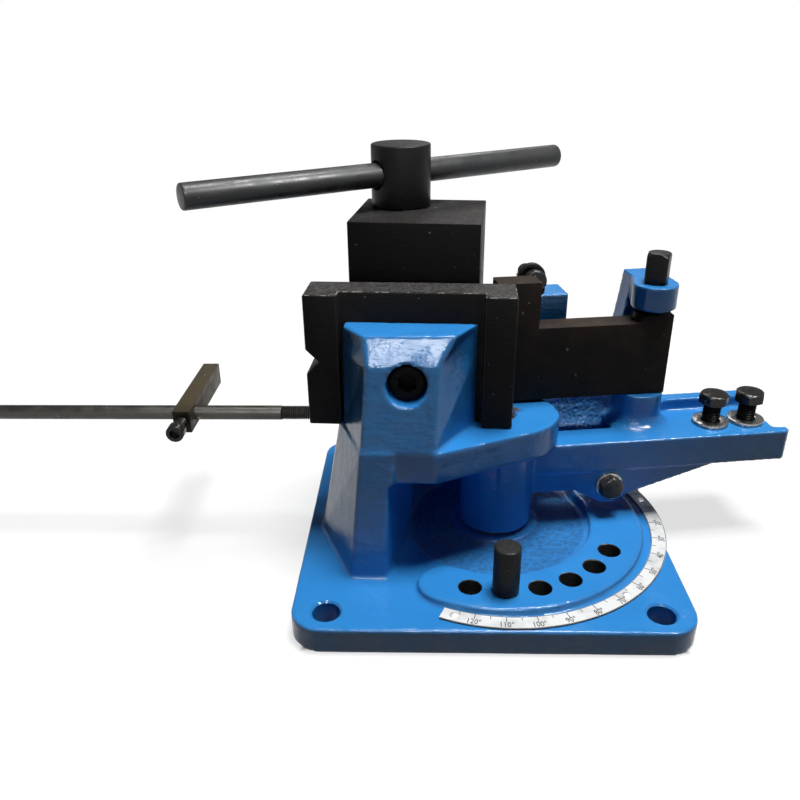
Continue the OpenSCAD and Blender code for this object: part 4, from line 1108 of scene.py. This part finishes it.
def ring_strip(work, inner, outer, low, high, start, end):
    """Adds a flat ring segment round the scale's middle to a bmesh."""
    loops = []
    for k in range(STRIP_STEPS + 1):
        angle = start + (end - start) * k / STRIP_STEPS
        ray = Vector((math.cos(angle), math.sin(angle), 0))
        corners = ((inner, low), (outer, low), (outer, high), (inner, high))
        loops.append([work.verts.new(SCALE_MIDDLE + ray * r + Vector((0, 0, z))) for r, z in corners])
    for here, there in zip(loops, loops[1:]):
        for k in range(4):
            j = (k + 1) % 4
            work.faces.new((here[k], here[j], there[j], there[k]))
    work.faces.new(reversed(loops[0]))
    work.faces.new(loops[-1])


for inner, outer in LINE_RADII:
    ring_strip(
        marks, inner * MM, outer * MM, SCALE_TOP - INK_HEIGHT, SCALE_TOP + INK_HEIGHT,
        SCALE_FROM + LINE_INSET, SCALE_TO - LINE_INSET)
bmesh.ops.recalc_face_normals(marks, faces=marks.faces)
printed = finished("scale_print", marks, Matrix(), scale_ink_and_shade)
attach(printed, "frame")

strip = bmesh.new()
ring_strip(strip, SCALE_INNER, SCALE_OUTER, BASE_TOP, SCALE_TOP, SCALE_FROM, SCALE_TO)
bmesh.ops.recalc_face_normals(strip, faces=strip.faces)
plate = finished("scale_strip", strip, Matrix(), scale_white)
plate.data.materials.append(scale_ink_and_shade)
# the strip's side faces take the dark ink as painted shade along its edge
for face in plate.data.polygons:
    face.material_index = 0 if face.normal.z > 0.5 else 1
stand_for(plate, "angle_scale")

# %% [markdown]
# ## Rivets
# Three small domed rivets hold the strip.  They repeat, so one tree puts a flattened ball on each point
# of a tiny mesh.

# %% Rivets
RIVET_RADIUS = 109 * MM
RIVET_ANGLES = [math.radians(angle) for angle in (-109, -49.5, 13)]


def make_rivet_tree():
    tree, given, output = new_tree(
        "rivet_heads", [("Width", "Float"), ("Flatness", "Vector"), ("Finish", "Material")], points=True)
    ball = tree.nodes.new("GeometryNodeMeshUVSphere")
    ball.inputs["Segments"].default_value = 24
    ball.inputs["Rings"].default_value = 12
    flat = tree.nodes.new("GeometryNodeTransform")
    place = tree.nodes.new("GeometryNodeInstanceOnPoints")
    tree.links.new(given.outputs["Width"], ball.inputs["Radius"])
    tree.links.new(ball.outputs["Mesh"], flat.inputs["Geometry"])
    tree.links.new(given.outputs["Flatness"], flat.inputs["Scale"])
    tree.links.new(given.outputs["Points"], place.inputs["Points"])
    tree.links.new(flat.outputs["Geometry"], place.inputs["Instance"])
    end_tree(tree, place.outputs["Instances"], given, output)
    return tree


rivet_points = [on_scale(RIVET_RADIUS, angle) for angle in RIVET_ANGLES]
rivet_mesh = run_tree(
    make_rivet_tree(), "scale_rivet_heads",
    {"Width": 2.6 * MM, "Flatness": Vector((1, 1, 0.45)), "Finish": bright_tin}, rivet_points)
rivets = new_piece("scale_rivet_heads", rivet_mesh)
shade(rivets, 60)
stand_for(rivets, "scale_rivets")

# %% [markdown]
# ## Pieces that keep their CAD shape
# Pins, bushes and the thrust washer are mostly hidden and already have the right shape.  They keep
# their CAD mesh and only get the right metal.

# %% Finishes on kept nodes
# the thrust washer's bronze is darkened as painted shade in its gap under the arm's boss
KEPT = {
    "pivot_pin": zinc, "thrust_washer": oily_shaded_bronze, "spindle_bush": bronze,
    "upper_bush": bronze, "lower_bush": bronze, "spindle_screw": black_bolt,
}
for node, finish in KEPT.items():
    for slot in frame["nodes"][node].material_slots:
        slot.material = finish
print("Kept as they are:", sorted(KEPT))

# %% [markdown]
# ## Last look
# The dressed part's box is printed in millimetres. The dressed part has to stay inside the CAD model's
# box.

# %% Sizes and finish
low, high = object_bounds()
print("Visual box in mm:", [round(side / MM, 1) for side in high - low])
